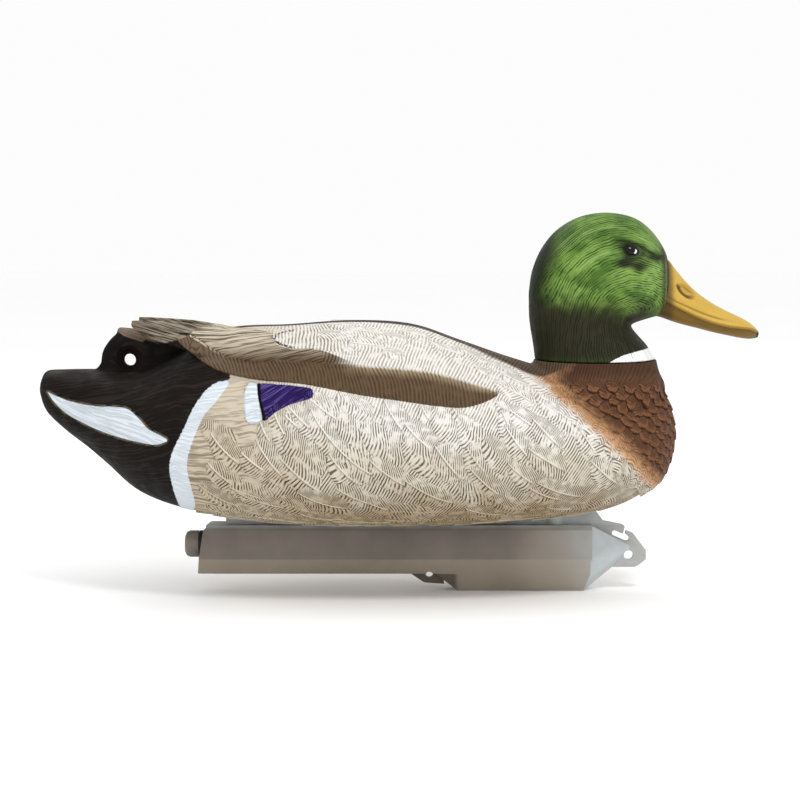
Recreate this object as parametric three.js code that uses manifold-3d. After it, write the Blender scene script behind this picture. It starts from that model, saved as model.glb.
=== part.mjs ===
// Floating mallard drake decoy: a hollow moulded hull, a head that turns on a snap-in neck, and a
// hollow keel with line ties, held by three screws, that takes a removable sand-filled ballast tube.
//
// Millimetres. +X points out of the bill, +Y to the duck's left, +Z up. The origin is under the middle
// of the overall length, on the plane of the keel's lowest face.

import * as THREE from "three";
import { ConvexGeometry } from "three/addons/geometries/ConvexGeometry.js";
import { mergeVertices } from "three/addons/utils/BufferGeometryUtils.js";
import Module from "manifold-3d";

const wasm = await Module();
wasm.setup();

// ---- Driving dimensions ----

const HALF_LENGTH = 238.3; // half of the length from tail tip to bill tip
const WALL = 2.6; // moulded wall of hull, head and keel
const GAP = 0.3; // clearance between pieces that touch

// Neck joint, on a vertical axis.
const NECK_X = 130;
const NECK_RADIUS = 40;
const SEAM_Z = 154; // flat land on the hull that the head stands on
const NECK_BORE = 22; // radius of the hole in the hull's land
const BUSH_WALL = 3;
const BUSH_FLANGE = 5; // how far the bush's flange overhangs its tube
const BUSH_FLANGE_HEIGHT = 2;
const BUSH_LENGTH = 11;
const SPIGOT_WALL = 2.5;
const SPIGOT_LIP = 1.6; // how far the snap lip stands out
const SPIGOT_LIP_HEIGHT = 3;
const SPIGOT_SLOT = 2.5; // width of the four slots that free the snap fingers
const SPIGOT_PLATE = 3.2;
const SEAL_RADIUS = 30.5; // centre line of the neck's seal ring
const SEAL_SECTION = 1.3; // radius of the seal ring's round section

// Eyes.
const EYE = new THREE.Vector3(152.5, 28.4, 224.8);
const EYE_RADIUS = 4.3;
const EYE_DEPTH = 5;
const EYE_DOME = 1.6; // height of the domed face
const EYE_TURN = [0.14, 0.2]; // how far the eye's axis turns forward and up

// Keel.
const KEEL_REAR = -135;
const KEEL_NOSE = 153.7;
const KEEL_SHOULDER = 127; // where the keel starts to close towards its nose
const KEEL_TOP = 44;
const KEEL_CREASE = 22; // the widest line along the side
const KEEL_FLOOR = 11.3; // underside behind the bulb
const CREASE_HALF_WIDTH = 15.5;
const FLOOR_HALF_WIDTH = 9.5;
const TOP_HALF_WIDTH = 11;
const SHOULDER_HALF_WIDTH = 12.5; // at the floor's height, where the bulb meets the nose
const BULB_HALF_WIDTH = 8; // the flat that the decoy stands on
const BULB_START = 23; // x where the bulb leaves the floor
const BULB_FLAT = [38.3, 123]; // x of the two ends of the flat
const WEB_THICKNESS = 5;
const WEB_REAR = -116;
const FRONT_TIE_RADIUS = 3.2; // round hole in the nose plate
const MIDDLE_TIE_RADIUS = 2.6; // round hole in the tab under the keel's floor
const COLUMN_RADIUS = 6.5; // screw columns between the keel and the hull
const CROSS_CUT = 20; // half length of the cuts that pass across the keel and the tail
const SEAT_DEPTH = 1.5; // how far a column's washer is let into the hull
const SCREW_XS = [-36, 34, 104];
const ACCESS_HOLE = 5; // radius of the holes in the keel's floor that let a driver and water in

// Ballast tube, which slides in from behind.
const BALLAST_Z = 30.3;
const BALLAST_RADIUS = 9;
const BALLAST_WALL = 1.6;
const BALLAST_LENGTH = 236; // from the keel's rear face to the tube's front end
const BALLAST_PLUG = 8; // length of the plug in the tube's front end
const SLEEVE_RADIUS = BALLAST_RADIUS + GAP;
const KNOB_LENGTH = 8.5; // how far the end cap stands out behind the keel
const TUBE_INNER = BALLAST_RADIUS - BALLAST_WALL;
const TUBE_START = 6; // from the keel's rear face to the tube's open end
const CAP_DEPTH = 12; // from the keel's rear face to the end of the cap's stem
const GROOVE = [1, 4.4]; // the seal's groove in the cap
const GROOVE_RADIUS = 7;
const SEAL_CHAMFER = 0.4;

// Screws.
const SCREW_RADIUS = 1.9;
const SCREW_HEAD = 3.9;
const SCREW_HEAD_HEIGHT = 2.4;
const SCREW_LENGTH = 15; // under the head
const BOSS_RADIUS = 5.5;
const BOSS_HEIGHT = 15;
const BOSS_CAP = 1.5; // solid top left over the screw's hole
const DRIVER_SLOT = [4.6, 1, 2];
const WASHER_THICKNESS = 1.2;

// The hull's cavity, as shares of the length.
const CAVITY_FROM = 0.22;
const CAVITY_TO = 0.97;

// Tail curl, a raised lobe on the rump with a hole through it.
const CURL_HOLE = [-179.2, 153.9]; // x, z
const CURL_HOLE_RADIUS = 4;
const CURL_THICKNESS = 11;

// ---- Solids ----

// A closed BufferGeometry as a manifold-3d solid, turned right side out.
function solid(geometry) {
  const bare = geometry.clone();
  bare.deleteAttribute("normal");
  bare.deleteAttribute("uv");
  const merged = mergeVertices(bare, 1e-4);
  const triVerts = new Uint32Array(merged.index.array);
  const vertProperties = merged.attributes.position.array;
  const made = new wasm.Manifold(new wasm.Mesh({ numProp: 3, vertProperties, triVerts }));
  if (made.volume() > 0) return made;
  for (let i = 0; i < triVerts.length; i += 3) {
    [triVerts[i], triVerts[i + 1]] = [triVerts[i + 1], triVerts[i]];
  }
  return new wasm.Manifold(new wasm.Mesh({ numProp: 3, vertProperties, triVerts }));
}

// A manifold-3d solid as a BufferGeometry.
function geometryOf(made) {
  const { numProp, vertProperties, triVerts } = made.getMesh();
  const count = vertProperties.length / numProp;
  const points = new Float32Array(count * 3);
  for (let i = 0; i < count; i++) {
    points.set(vertProperties.subarray(i * numProp, i * numProp + 3), i * 3);
  }
  const geometry = new THREE.BufferGeometry();
  geometry.setAttribute("position", new THREE.BufferAttribute(points, 3));
  geometry.setIndex(new THREE.BufferAttribute(triVerts, 1));
  const flat = geometry.toNonIndexed();
  flat.computeVertexNormals();
  return flat;
}

// A closed skin over rings that all have the same number of points, with a fan over each end.
function loft(rings) {
  const n = rings[0].length;
  const points = rings.flat();
  const index = [];
  for (let i = 0; i + 1 < rings.length; i++) {
    for (let j = 0; j < n; j++) {
      const a = i * n + j;
      const b = i * n + ((j + 1) % n);
      index.push(a, b, b + n, a, b + n, a + n);
    }
  }
  for (const [start, turn] of [[0, 1], [(rings.length - 1) * n, 0]]) {
    const middle = new THREE.Vector3();
    points.slice(start, start + n).forEach((p) => middle.addScaledVector(p, 1 / n));
    const m = points.push(middle) - 1;
    for (let j = 0; j < n; j++) {
      const a = start + j;
      const b = start + ((j + 1) % n);
      index.push(...(turn ? [m, b, a] : [m, a, b]));
    }
  }
  const geometry = new THREE.BufferGeometry().setFromPoints(points);
  geometry.setIndex(index);
  return solid(geometry);
}

// A round solid about an axis through the middle, from a profile of [radius, height along the axis].
function lathe(profile, segments = 32) {
  const points = profile.map(([r, h]) => new THREE.Vector2(r, h));
  return solid(new THREE.LatheGeometry(points, segments).rotateX(Math.PI / 2));
}

// A cylinder from one point to another.
function rod(from, to, radius, segments = 24) {
  const axis = to.clone().sub(from);
  const geometry = new THREE.CylinderGeometry(radius, radius, axis.length(), segments);
  const up = new THREE.Vector3(0, 1, 0);
  geometry.applyQuaternion(new THREE.Quaternion().setFromUnitVectors(up, axis.clone().normalize()));
  geometry.translate(...from.clone().add(to).multiplyScalar(0.5));
  return solid(geometry);
}

// A vertical cylinder on the keel's middle plane.
const post = (x, low, high, radius, segments) =>
  rod(new THREE.Vector3(x, 0, low), new THREE.Vector3(x, 0, high), radius, segments);

// A plate on the middle plane, from an outline of [x, z].
function plate(outline, thickness) {
  const shape = new THREE.Shape(outline.map(([x, z]) => new THREE.Vector2(x, z)));
  const geometry = new THREE.ExtrudeGeometry(shape, { depth: thickness, bevelEnabled: false });
  return solid(geometry.rotateX(Math.PI / 2).translate(0, thickness / 2, 0));
}

const ring = (outer, inner, low, high, segments) =>
  lathe([[inner, low], [outer, low], [outer, high], [inner, high], [inner, low]], segments);

// ---- Hull ----

// The hull's form is three rails, and one superellipse section through each set of rail points.
// Each row: top x, z; side x, y, z; bottom x, z; and the section's power above and below the side.
const HULL_SECTIONS = [
  [-237.6, 139, -238.2, 12, 134, -237.8, 130, 2.2, 2.2],
  [-234.3, 144.7, -234.5, 20, 131, -233.4, 118.5, 2.3, 2.2],
  [-223, 145.8, -223, 27, 128, -221, 106.5, 2.4, 2.2],
  [-207, 146.2, -207, 34, 124, -206, 95, 2.4, 2.2],
  [-191, 145.8, -191, 42, 119, -192, 83, 2.3, 2.2],
  [-172, 147, -172, 54, 113, -174, 67.5, 2.2, 2.2],
  [-148, 158, -148, 68, 107, -149, 57.5, 2.2, 2.3],
  [-114, 170.5, -114, 80, 103, -114, 51, 2.2, 2.4],
  [-73, 175, -73, 88, 100, -73, 47.2, 2.2, 2.5],
  [-30, 179, -30, 91, 98, -28, 46, 2.2, 2.5],
  [8, 177, 12, 91, 97, 20, 46.4, 2.2, 2.5],
  [40, 166, 54, 88, 96, 64, 48.2, 2.1, 2.5],
  [75, 153, 92, 81, 96, 101, 51, 2, 2.4],
  [107, 145.5, 122, 70, 98, 131, 55, 2, 2.3],
  [147, 143.5, 150, 52, 99, 154, 61.5, 2, 2.2],
  [169, 138, 171, 32, 101, 171, 71, 2, 2.1],
  [179, 125, 179.6, 15, 104, 179.4, 85, 2, 2],
  [183.2, 106.5, 183.3, 2, 105, 183.2, 103.5, 2, 2],
];

// A smooth line through one or more columns of a table, as a function of a share from 0 to 1.
function rail(rows, columns) {
  const points = rows.map((row) => new THREE.Vector3(...columns.map((c) => row[c] ?? 0)));
  const curve = new THREE.CatmullRomCurve3(points);
  return (share) => curve.getPoint(share);
}

// One ring of the section with its points spread evenly by angle, starting at the top.
function section(top, side, bottom, upperPower, lowerPower, inset, count) {
  const points = [];
  for (let j = 0; j < count; j++) {
    const angle = (j / count) * 2 * Math.PI;
    const end = Math.cos(angle) >= 0 ? top : bottom;
    const power = 2 / (Math.cos(angle) >= 0 ? upperPower : lowerPower);
    const rise = Math.abs(Math.cos(angle)) ** power;
    const out = Math.sign(Math.sin(angle)) * Math.abs(Math.sin(angle)) ** power;
    const height = end.z - side.z;
    points.push(new THREE.Vector3(
      side.x + (end.x - side.x) * rise,
      (side.y - inset) * out,
      side.z + (height - Math.sign(height) * inset) * rise,
    ));
  }
  return points;
}

// The hull's skin, or the skin of its cavity at an inset, between two shares of the length.
function hullSkin({ from = 0, to = 1, steps, count, inset = 0 }) {
  const top = rail(HULL_SECTIONS, [0, 9, 1]);
  const side = rail(HULL_SECTIONS, [2, 3, 4]);
  const bottom = rail(HULL_SECTIONS, [5, 9, 6]);
  const power = rail(HULL_SECTIONS, [7, 8, 9]);
  const rings = [];
  for (let i = 0; i <= steps; i++) {
    const share = from + (to - from) * (i / steps);
    const { x: upper, y: lower } = power(share);
    rings.push(section(top(share), side(share), bottom(share), upper, lower, inset, count));
  }
  return loft(rings);
}

// The neck stub, round at the seam and flaring into the shoulders. Rows: z, centre x, radius along x,
// radius along y.
function neckStub(inset, top) {
  const rows = [
    [112, NECK_X - 4, 34, 38],
    [128, NECK_X - 2, 46, 48],
    [138, NECK_X - 0.5, 46.5, 46],
    [147, NECK_X, NECK_RADIUS + 2.4, NECK_RADIUS + 2],
    [top, NECK_X, NECK_RADIUS, NECK_RADIUS],
  ];
  return loft(rows.map(([z, x, alongX, alongY]) => oval(x, z, alongX - inset, alongY - inset, 32)));
}

// A level ring of an ellipse, starting at its front.
function oval(x, z, alongX, alongY, count) {
  return Array.from({ length: count }, (_, j) => {
    const angle = (j / count) * 2 * Math.PI;
    return new THREE.Vector3(x + alongX * Math.cos(angle), alongY * Math.sin(angle), z);
  });
}

// A folded wing's tip, a blade that lies on the rump and ends in a free rounded point. Rows: x, y and z
// of the middle, half width and half thickness.
function wingTip(hand) {
  const rows = [
    [-92, 36, 162, 17, 3],
    [-130, 31, 172, 19, 4],
    [-152, 27, 175, 15, 4],
    [-166, 25, 177, 10, 3.6],
    [-174, 24, 178.4, 4, 2],
  ];
  return loft(rows.map(([x, y, z, wide, thick]) => tiltedOval(x, hand * y, z, wide, thick, hand * 0.55)));
}

// The crossed flight feathers under the wing tips, on the middle plane.
function flightFeathers() {
  const rows = [
    [-112, 0, 163, 15, 4],
    [-150, 0, 168.5, 14, 4],
    [-175, 0, 171, 9, 3.5],
    [-187.5, 0, 174, 3.5, 1.6],
  ];
  return loft(rows.map(([x, y, z, wide, thick]) => tiltedOval(x, y, z, wide, thick, 0)));
}

// An upright elliptical ring across the length, rolled by an angle about X.
function tiltedOval(x, y, z, wide, thick, roll, count = 16) {
  return Array.from({ length: count }, (_, j) => {
    const angle = (j / count) * 2 * Math.PI;
    const across = wide * Math.cos(angle);
    const up = thick * Math.sin(angle);
    return new THREE.Vector3(
      x,
      y + across * Math.cos(roll) + up * Math.sin(roll),
      z - across * Math.sin(roll) + up * Math.cos(roll),
    );
  });
}

// The height of the hull's underside on the middle plane.
function hullUnderside(x) {
  const bottom = rail(HULL_SECTIONS, [5, 9, 6]);
  let [low, high] = [0, 1];
  for (let i = 0; i < 30; i++) {
    const middle = (low + high) / 2;
    if (bottom(middle).x < x) low = middle;
    else high = middle;
  }
  return bottom(low).z;
}

// The curled tail feathers, moulded as one lobe that runs forward under the wing tips.
const tailCurl = () => plate([
  [-198, 142], [-198.4, 151], [-197.3, 158], [-193.5, 164.3], [-188.2, 169.5], [-180, 172],
  [-165, 170], [-135, 166], [-130, 145],
], CURL_THICKNESS);

// A rod across the middle plane, for a round hole at x, z.
const crossRod = (x, z, radius) =>
  rod(new THREE.Vector3(x, CROSS_CUT, z), new THREE.Vector3(x, -CROSS_CUT, z), radius, 16);

function hullShell() {
  let hull = hullSkin({ steps: 36, count: 32 })
    .add(neckStub(0, SEAM_Z))
    .add(wingTip(1))
    .add(wingTip(-1))
    .add(flightFeathers())
    .add(tailCurl());
  let cavity = hullSkin({ from: CAVITY_FROM, to: CAVITY_TO, steps: 16, count: 20, inset: WALL })
    .add(neckStub(WALL, SEAM_Z - WALL - BUSH_FLANGE_HEIGHT));
  for (const x of SCREW_XS) {
    cavity = cavity.subtract(post(x, KEEL_TOP - 4, hullUnderside(x) + BOSS_HEIGHT, BOSS_RADIUS, 14));
  }
  const aboveSeam = 3 * NECK_RADIUS;
  const seam = new THREE.BoxGeometry(aboveSeam, aboveSeam, NECK_RADIUS)
    .translate(NECK_X, 0, SEAM_Z + NECK_RADIUS / 2);
  const flangeRecess = NECK_BORE + BUSH_FLANGE + GAP;
  hull = hull
    .subtract(cavity)
    .subtract(solid(seam))
    .subtract(post(NECK_X, SEAM_Z - 2 * BUSH_LENGTH + 2, SEAM_Z + 1, NECK_BORE, 32))
    .subtract(post(NECK_X, SEAM_Z - BUSH_FLANGE_HEIGHT - GAP, SEAM_Z + 1, flangeRecess, 32))
    .subtract(crossRod(...CURL_HOLE, CURL_HOLE_RADIUS));
  for (const x of SCREW_XS) {
    const under = hullUnderside(x);
    hull = hull
      .subtract(post(x, BALLAST_Z, under + BOSS_HEIGHT - BOSS_CAP, SCREW_RADIUS + GAP, 12))
      .subtract(post(x, BALLAST_Z, columnSeat(x), COLUMN_RADIUS + GAP, 16));
  }
  return hull;
}

// ---- Neck ----

// The flanged bush that lines the hole in the hull's land.
function neckBush() {
  const outer = NECK_BORE - GAP;
  const inner = NECK_BORE - BUSH_WALL;
  const top = SEAM_Z - GAP / 2;
  const flange = top - BUSH_FLANGE_HEIGHT;
  return lathe([
    [inner, top - BUSH_LENGTH],
    [outer, top - BUSH_LENGTH],
    [outer, flange],
    [NECK_BORE + BUSH_FLANGE, flange],
    [NECK_BORE + BUSH_FLANGE, top],
    [inner, top],
    [inner, top - BUSH_LENGTH],
  ]).translate(NECK_X, 0, 0);
}

// The plate that closes the head's base, with a slotted tube whose lip snaps under the bush.
function neckSpigot() {
  const outer = NECK_BORE - BUSH_WALL - GAP;
  const inner = outer - SPIGOT_WALL;
  const base = SEAM_Z + GAP;
  const plateTop = base + SPIGOT_PLATE;
  const lipTop = SEAM_Z - BUSH_LENGTH - 2 * GAP;
  const lipBottom = lipTop - SPIGOT_LIP_HEIGHT;
  const plateRadius = NECK_RADIUS - WALL - GAP;
  let spigot = lathe([
    [inner, lipBottom],
    [outer, lipBottom],
    [outer + SPIGOT_LIP, lipTop - 1],
    [outer + SPIGOT_LIP, lipTop],
    [outer, lipTop],
    [outer, base],
    [plateRadius, base],
    [plateRadius, plateTop],
    [inner, plateTop],
    [inner, lipBottom],
  ]);
  const slotHeight = base - 2 - lipBottom;
  for (const turn of [0, Math.PI / 2]) {
    const slot = new THREE.BoxGeometry(60, SPIGOT_SLOT, slotHeight + 1)
      .rotateZ(turn + Math.PI / 4)
      .translate(0, 0, lipBottom - 1 + (slotHeight + 1) / 2);
    spigot = spigot.subtract(solid(slot));
  }
  const seat = SEAL_SECTION + GAP;
  return spigot
    .subtract(ring(SEAL_RADIUS + seat, SEAL_RADIUS - seat, base - 1, base + 2 * SEAL_SECTION, 32))
    .translate(NECK_X, 0, 0);
}

// The rubber ring in the spigot plate's groove.
function neckSealRing() {
  const round = Array.from({ length: 9 }, (_, i) => {
    const angle = (i / 8) * 2 * Math.PI;
    return [SEAL_RADIUS + SEAL_SECTION * Math.cos(angle), SEAL_SECTION * Math.sin(angle)];
  });
  return lathe(round, 24).translate(NECK_X, 0, SEAM_Z + GAP / 2 + SEAL_SECTION);
}

// ---- Head ----

// Level sections of the head. Each row: z, back x, front x, half width.
const HEAD_SECTIONS = [
  [SEAM_Z + GAP, NECK_X - NECK_RADIUS, NECK_X + NECK_RADIUS, NECK_RADIUS],
  [158, 89.8, 167, 38.2],
  [164, 88.8, 163.5, 36.6],
  [170, 87.8, 158, 35.2],
  [175, 86.9, 153.3, 34.2],
  [179, 86.3, 151.5, 33.6],
  [181.5, 86, 154, 33.4],
  [182.8, 85.9, 163, 33.3],
  [184.2, 85.7, 170, 33.3],
  [189, 85.5, 173, 33.6],
  [195, 85.4, 175.7, 33.8],
  [203, 85.9, 177.3, 33.5],
  [212.7, 87.5, 178, 32.2],
  [222, 90.8, 177, 30],
  [230.7, 96.3, 173.6, 27],
  [238.7, 103.7, 168, 22.5],
  [245.3, 113, 160, 16.5],
  [249.3, 123, 150, 10],
  [251.3, 133, 140, 2.5],
];

// Upright sections of the bill. Each row: x, top z, bottom z, half width.
const BILL_SECTIONS = [
  [160, 222, 184, 12],
  [177, 219, 180.7, 14],
  [182, 213.5, 179, 14.2],
  [188, 206.5, 176.8, 14],
  [195, 199.8, 174.5, 13.7],
  [204, 194, 172, 14],
  [214, 188.4, 169.7, 14.8],
  [224, 183.3, 168.2, 15],
  [231, 179.2, 167.7, 13],
  [235.7, 175.6, 168, 9],
  [HALF_LENGTH, 172, 169.5, 3.5],
];

function headShell() {
  const skin = (inset, rows) => loft(rows.map(([z, back, front, wide]) => {
    const middle = (back + front) / 2;
    return oval(middle, z, (front - back) / 2 - inset, wide - inset, inset ? 22 : 32);
  }));
  const cavityTop = HEAD_SECTIONS.length - 3;
  const plateSeat = post(NECK_X, SEAM_Z - 1, SEAM_Z + SPIGOT_PLATE + 2 * GAP, NECK_RADIUS - WALL, 32);
  const cavity = skin(WALL, HEAD_SECTIONS.slice(0, cavityTop)).add(plateSeat);
  const bill = loft(BILL_SECTIONS.map(([x, top, bottom, wide]) =>
    tiltedOval(x, 0, (top + bottom) / 2, wide, (top - bottom) / 2, 0, 24)));
  let head = skin(0, HEAD_SECTIONS).add(bill).subtract(cavity);
  for (const hand of [1, -1]) {
    head = head.subtract(eyeSolid(hand, EYE_RADIUS + GAP, EYE_DEPTH + GAP, 16));
  }
  return head;
}

// An eye, a short peg with a domed face, looking out to one side.
function eyeSolid(hand, radius, depth, segments = 16) {
  const dome = Array.from({ length: 5 }, (_, i) => {
    const angle = (i / 4) * (Math.PI / 2);
    return [radius * Math.cos(angle), EYE_DOME * Math.sin(angle)];
  });
  const profile = [[0, -depth], [radius, -depth], ...dome];
  const points = profile.map(([r, h]) => new THREE.Vector2(r, h));
  const geometry = new THREE.LatheGeometry(points, segments);
  const outward = new THREE.Vector3(EYE_TURN[0], hand, EYE_TURN[1]).normalize();
  geometry.applyQuaternion(
    new THREE.Quaternion().setFromUnitVectors(new THREE.Vector3(0, 1, 0), outward),
  );
  return solid(geometry.translate(EYE.x, hand * EYE.y, EYE.z));
}

// ---- Keel ----

// The keel's body behind its nose. Its level lines: z, half width, and how far the line starts in front
// of the keel's rear.
function keelBody(inset) {
  const lines = [
    [KEEL_FLOOR, FLOOR_HALF_WIDTH, 0.5],
    [KEEL_CREASE, CREASE_HALF_WIDTH, 1.5],
    [KEEL_TOP - 3, TOP_HALF_WIDTH + 2.5, 4.5],
    [KEEL_TOP, TOP_HALF_WIDTH, 8],
  ];
  const half = lines.map(([z, wide, rear]) => {
    const tall = (KEEL_TOP + KEEL_FLOOR) / 2;
    return [z - Math.sign(z - tall) * inset, wide - inset, KEEL_REAR + rear + inset];
  });
  const end = KEEL_SHOULDER + 1 - inset;
  const ringAt = (place, narrow) => [
    ...half.map(([z, wide, rear]) => new THREE.Vector3(place ?? rear, wide * narrow, z)),
    ...half.toReversed().map(([z, wide, rear]) => new THREE.Vector3(place ?? rear, -wide * narrow, z)),
  ];
  return loft([ringAt(null, 0.93), ringAt(KEEL_REAR + 12 + inset, 1), ringAt(end, 1)]);
}

// The ballast bulb under the keel's front half, and the wedge that closes the keel to its nose.
function keelBulb(inset) {
  const line = (x, z, wide) => [
    new THREE.Vector3(x, wide - inset, z),
    new THREE.Vector3(x, inset - wide, z),
  ];
  const wrap = (points) => solid(new ConvexGeometry(points.flat()));
  const bulb = wrap([
    line(BULB_START + inset, KEEL_FLOOR + 1 - inset, FLOOR_HALF_WIDTH),
    line(BULB_FLAT[0] + inset, inset, BULB_HALF_WIDTH),
    line(BULB_FLAT[1] - inset, inset, BULB_HALF_WIDTH),
    line(KEEL_SHOULDER - inset, KEEL_FLOOR, SHOULDER_HALF_WIDTH),
    line(BULB_START + inset, KEEL_FLOOR + 3, FLOOR_HALF_WIDTH + 1.1),
    line(KEEL_SHOULDER - inset, KEEL_CREASE, CREASE_HALF_WIDTH),
    line(BULB_START + 9 + inset, KEEL_CREASE - 2, FLOOR_HALF_WIDTH + 3.5),
  ]);
  if (inset) return bulb;
  const nose = wrap([
    line(KEEL_SHOULDER, KEEL_TOP, TOP_HALF_WIDTH),
    line(KEEL_SHOULDER, KEEL_CREASE, CREASE_HALF_WIDTH),
    line(KEEL_SHOULDER, KEEL_FLOOR, SHOULDER_HALF_WIDTH),
    line(BULB_FLAT[1], 0, BULB_HALF_WIDTH),
    line(142, 14.6, WEB_THICKNESS / 2),
    line(KEEL_NOSE, 27, WEB_THICKNESS / 2),
    line(KEEL_NOSE, 29.5, WEB_THICKNESS / 2),
    line(KEEL_SHOULDER + 8, 40, WEB_THICKNESS / 2 + 3),
  ]);
  return bulb.add(nose);
}

// The flat web: its top meets the hull, its front carries the hook slot and a tie hole, and its rear
// tab under the floor carries the third tie.
function keelWeb() {
  const top = [];
  for (let x = 124; x >= WEB_REAR; x -= 12) top.push([x, hullUnderside(x) - GAP]);
  const web = plate([
    [WEB_REAR, 38], [122, 38], [142, 30], [142, 14.8], [157.5, 14.8], [160.5, 16.5], [164.9, 20.1],
    [164.9, 26.1], [156.2, 37.6], [151.9, 39.1], [150.4, 42.4], [148.6, 43.4], [136.2, 45.9],
    [130, hullUnderside(130) - GAP], ...top,
  ], WEB_THICKNESS);
  const tab = plate([[3, 13], [6.6, 11], [16, 4.6], [18, 4.2], [33.3, 3.2], [36, 13]], WEB_THICKNESS);
  return web.add(tab);
}

// Where cord passes through the web: two round ties and the hook slot, which opens at its front.
const FRONT_TIE = [153.2, 22.8];
const MIDDLE_TIE = [19.9, 10.2];

function tieCuts() {
  const slot = plate([
    [142.4, 36.2], [151.3, 32.2], [153.2, 32.6], [153.8, 34.6], [151, 37.2], [152.4, 41.5], [150.6, 41.8],
    [149.4, 37], [143.6, 39.6], [141.9, 38.4],
  ], 2 * CROSS_CUT);
  return crossRod(...FRONT_TIE, FRONT_TIE_RADIUS)
    .add(crossRod(...MIDDLE_TIE, MIDDLE_TIE_RADIUS))
    .add(slot);
}

// The seat cut up into the hull over a screw column, and the column's own top, under its washer.
const columnSeat = (x) => hullUnderside(x) + SEAT_DEPTH;
const columnTop = (x) => columnSeat(x) - WASHER_THICKNESS - 2 * GAP;

function keelShell() {
  const inside = BALLAST_LENGTH + KEEL_REAR;
  const sleeve = rod(
    new THREE.Vector3(KEEL_REAR, 0, BALLAST_Z),
    new THREE.Vector3(inside + 3, 0, BALLAST_Z),
    SLEEVE_RADIUS + 2,
  );
  const bore = rod(
    new THREE.Vector3(KEEL_REAR - 10, 0, BALLAST_Z),
    new THREE.Vector3(inside + GAP, 0, BALLAST_Z),
    SLEEVE_RADIUS,
  );
  const chamber = keelBody(WALL).add(keelBulb(WALL)).subtract(sleeve);
  let keel = keelBody(0).add(keelBulb(0)).add(keelWeb());
  for (const x of SCREW_XS) {
    keel = keel
      .add(post(x, KEEL_TOP - 6, columnTop(x), COLUMN_RADIUS, 16))
      .subtract(post(x, columnTop(x), columnTop(x) + BOSS_HEIGHT, COLUMN_RADIUS + 1, 16));
  }
  keel = keel.subtract(chamber).subtract(bore).subtract(tieCuts());
  for (const x of SCREW_XS) {
    const seat = BALLAST_Z + SLEEVE_RADIUS + SCREW_HEAD_HEIGHT + 2 * GAP;
    keel = keel
      .subtract(post(x, -1, BALLAST_Z, ACCESS_HOLE, 16))
      .subtract(post(x, BALLAST_Z, seat, SCREW_HEAD + GAP, 16))
      .subtract(post(x, BALLAST_Z, seat + SCREW_LENGTH, SCREW_RADIUS + GAP, 12));
  }
  return keel;
}

// A pan-head screw standing up through a column, its head in the sleeve's ceiling.
function keelScrew(x) {
  const seat = BALLAST_Z + SLEEVE_RADIUS + SCREW_HEAD_HEIGHT + GAP;
  const low = seat - SCREW_HEAD_HEIGHT;
  const recess = new THREE.BoxGeometry(...DRIVER_SLOT).translate(x, 0, low);
  return lathe([
    [0, 0],
    [SCREW_HEAD - 1, 0],
    [SCREW_HEAD, 1],
    [SCREW_HEAD, SCREW_HEAD_HEIGHT],
    [SCREW_RADIUS, SCREW_HEAD_HEIGHT],
    [SCREW_RADIUS, SCREW_HEAD_HEIGHT + SCREW_LENGTH - 2],
    [0.4, SCREW_HEAD_HEIGHT + SCREW_LENGTH],
    [0, SCREW_HEAD_HEIGHT + SCREW_LENGTH],
  ], 12).translate(x, 0, low)
    .subtract(solid(recess));
}

// The rubber washer between a column and the hull.
function keelWasher(x) {
  const top = columnSeat(x) - GAP;
  return ring(COLUMN_RADIUS - 0.5, SCREW_RADIUS + GAP, top - WASHER_THICKNESS, top, 16).translate(x, 0, 0);
}

// ---- Ballast ----

// A round solid on the ballast's axis, from a profile of [radius, distance in front of the keel's rear].
const alongBallast = (profile, segments = 24) => {
  const points = profile.map(([r, h]) => new THREE.Vector2(r, h));
  const geometry = new THREE.LatheGeometry(points, segments).rotateZ(-Math.PI / 2);
  return solid(geometry.translate(KEEL_REAR, 0, BALLAST_Z));
};

const ballastTube = () => alongBallast([
  [TUBE_INNER, TUBE_START], [BALLAST_RADIUS, TUBE_START], [BALLAST_RADIUS, BALLAST_LENGTH - GAP],
  [TUBE_INNER, BALLAST_LENGTH - GAP], [TUBE_INNER, TUBE_START],
]);

const ballastSand = () => alongBallast([
  [0, CAP_DEPTH + GAP], [TUBE_INNER - GAP, CAP_DEPTH + GAP],
  [TUBE_INNER - GAP, BALLAST_LENGTH - BALLAST_PLUG - GAP], [0, BALLAST_LENGTH - BALLAST_PLUG - GAP],
]);

const ballastPlug = () => alongBallast([
  [0, BALLAST_LENGTH - BALLAST_PLUG], [TUBE_INNER - GAP, BALLAST_LENGTH - BALLAST_PLUG],
  [TUBE_INNER - GAP, BALLAST_LENGTH - GAP], [0, BALLAST_LENGTH - GAP],
]);

// The end cap, a knob behind the keel with a stem in the tube and a groove for the seal.
const ballastCap = () => alongBallast([
  [0, -KNOB_LENGTH],
  [BALLAST_RADIUS - 3.5, -KNOB_LENGTH],
  [BALLAST_RADIUS - 1, -KNOB_LENGTH + 1.2],
  [BALLAST_RADIUS, -KNOB_LENGTH + 3.6],
  [BALLAST_RADIUS, GROOVE[0]],
  [GROOVE_RADIUS, GROOVE[0]],
  [GROOVE_RADIUS, GROOVE[1]],
  [BALLAST_RADIUS, GROOVE[1]],
  [BALLAST_RADIUS, TUBE_START - GAP],
  [TUBE_INNER - GAP, TUBE_START - GAP],
  [TUBE_INNER - GAP, CAP_DEPTH],
  [0, CAP_DEPTH],
]);

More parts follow.
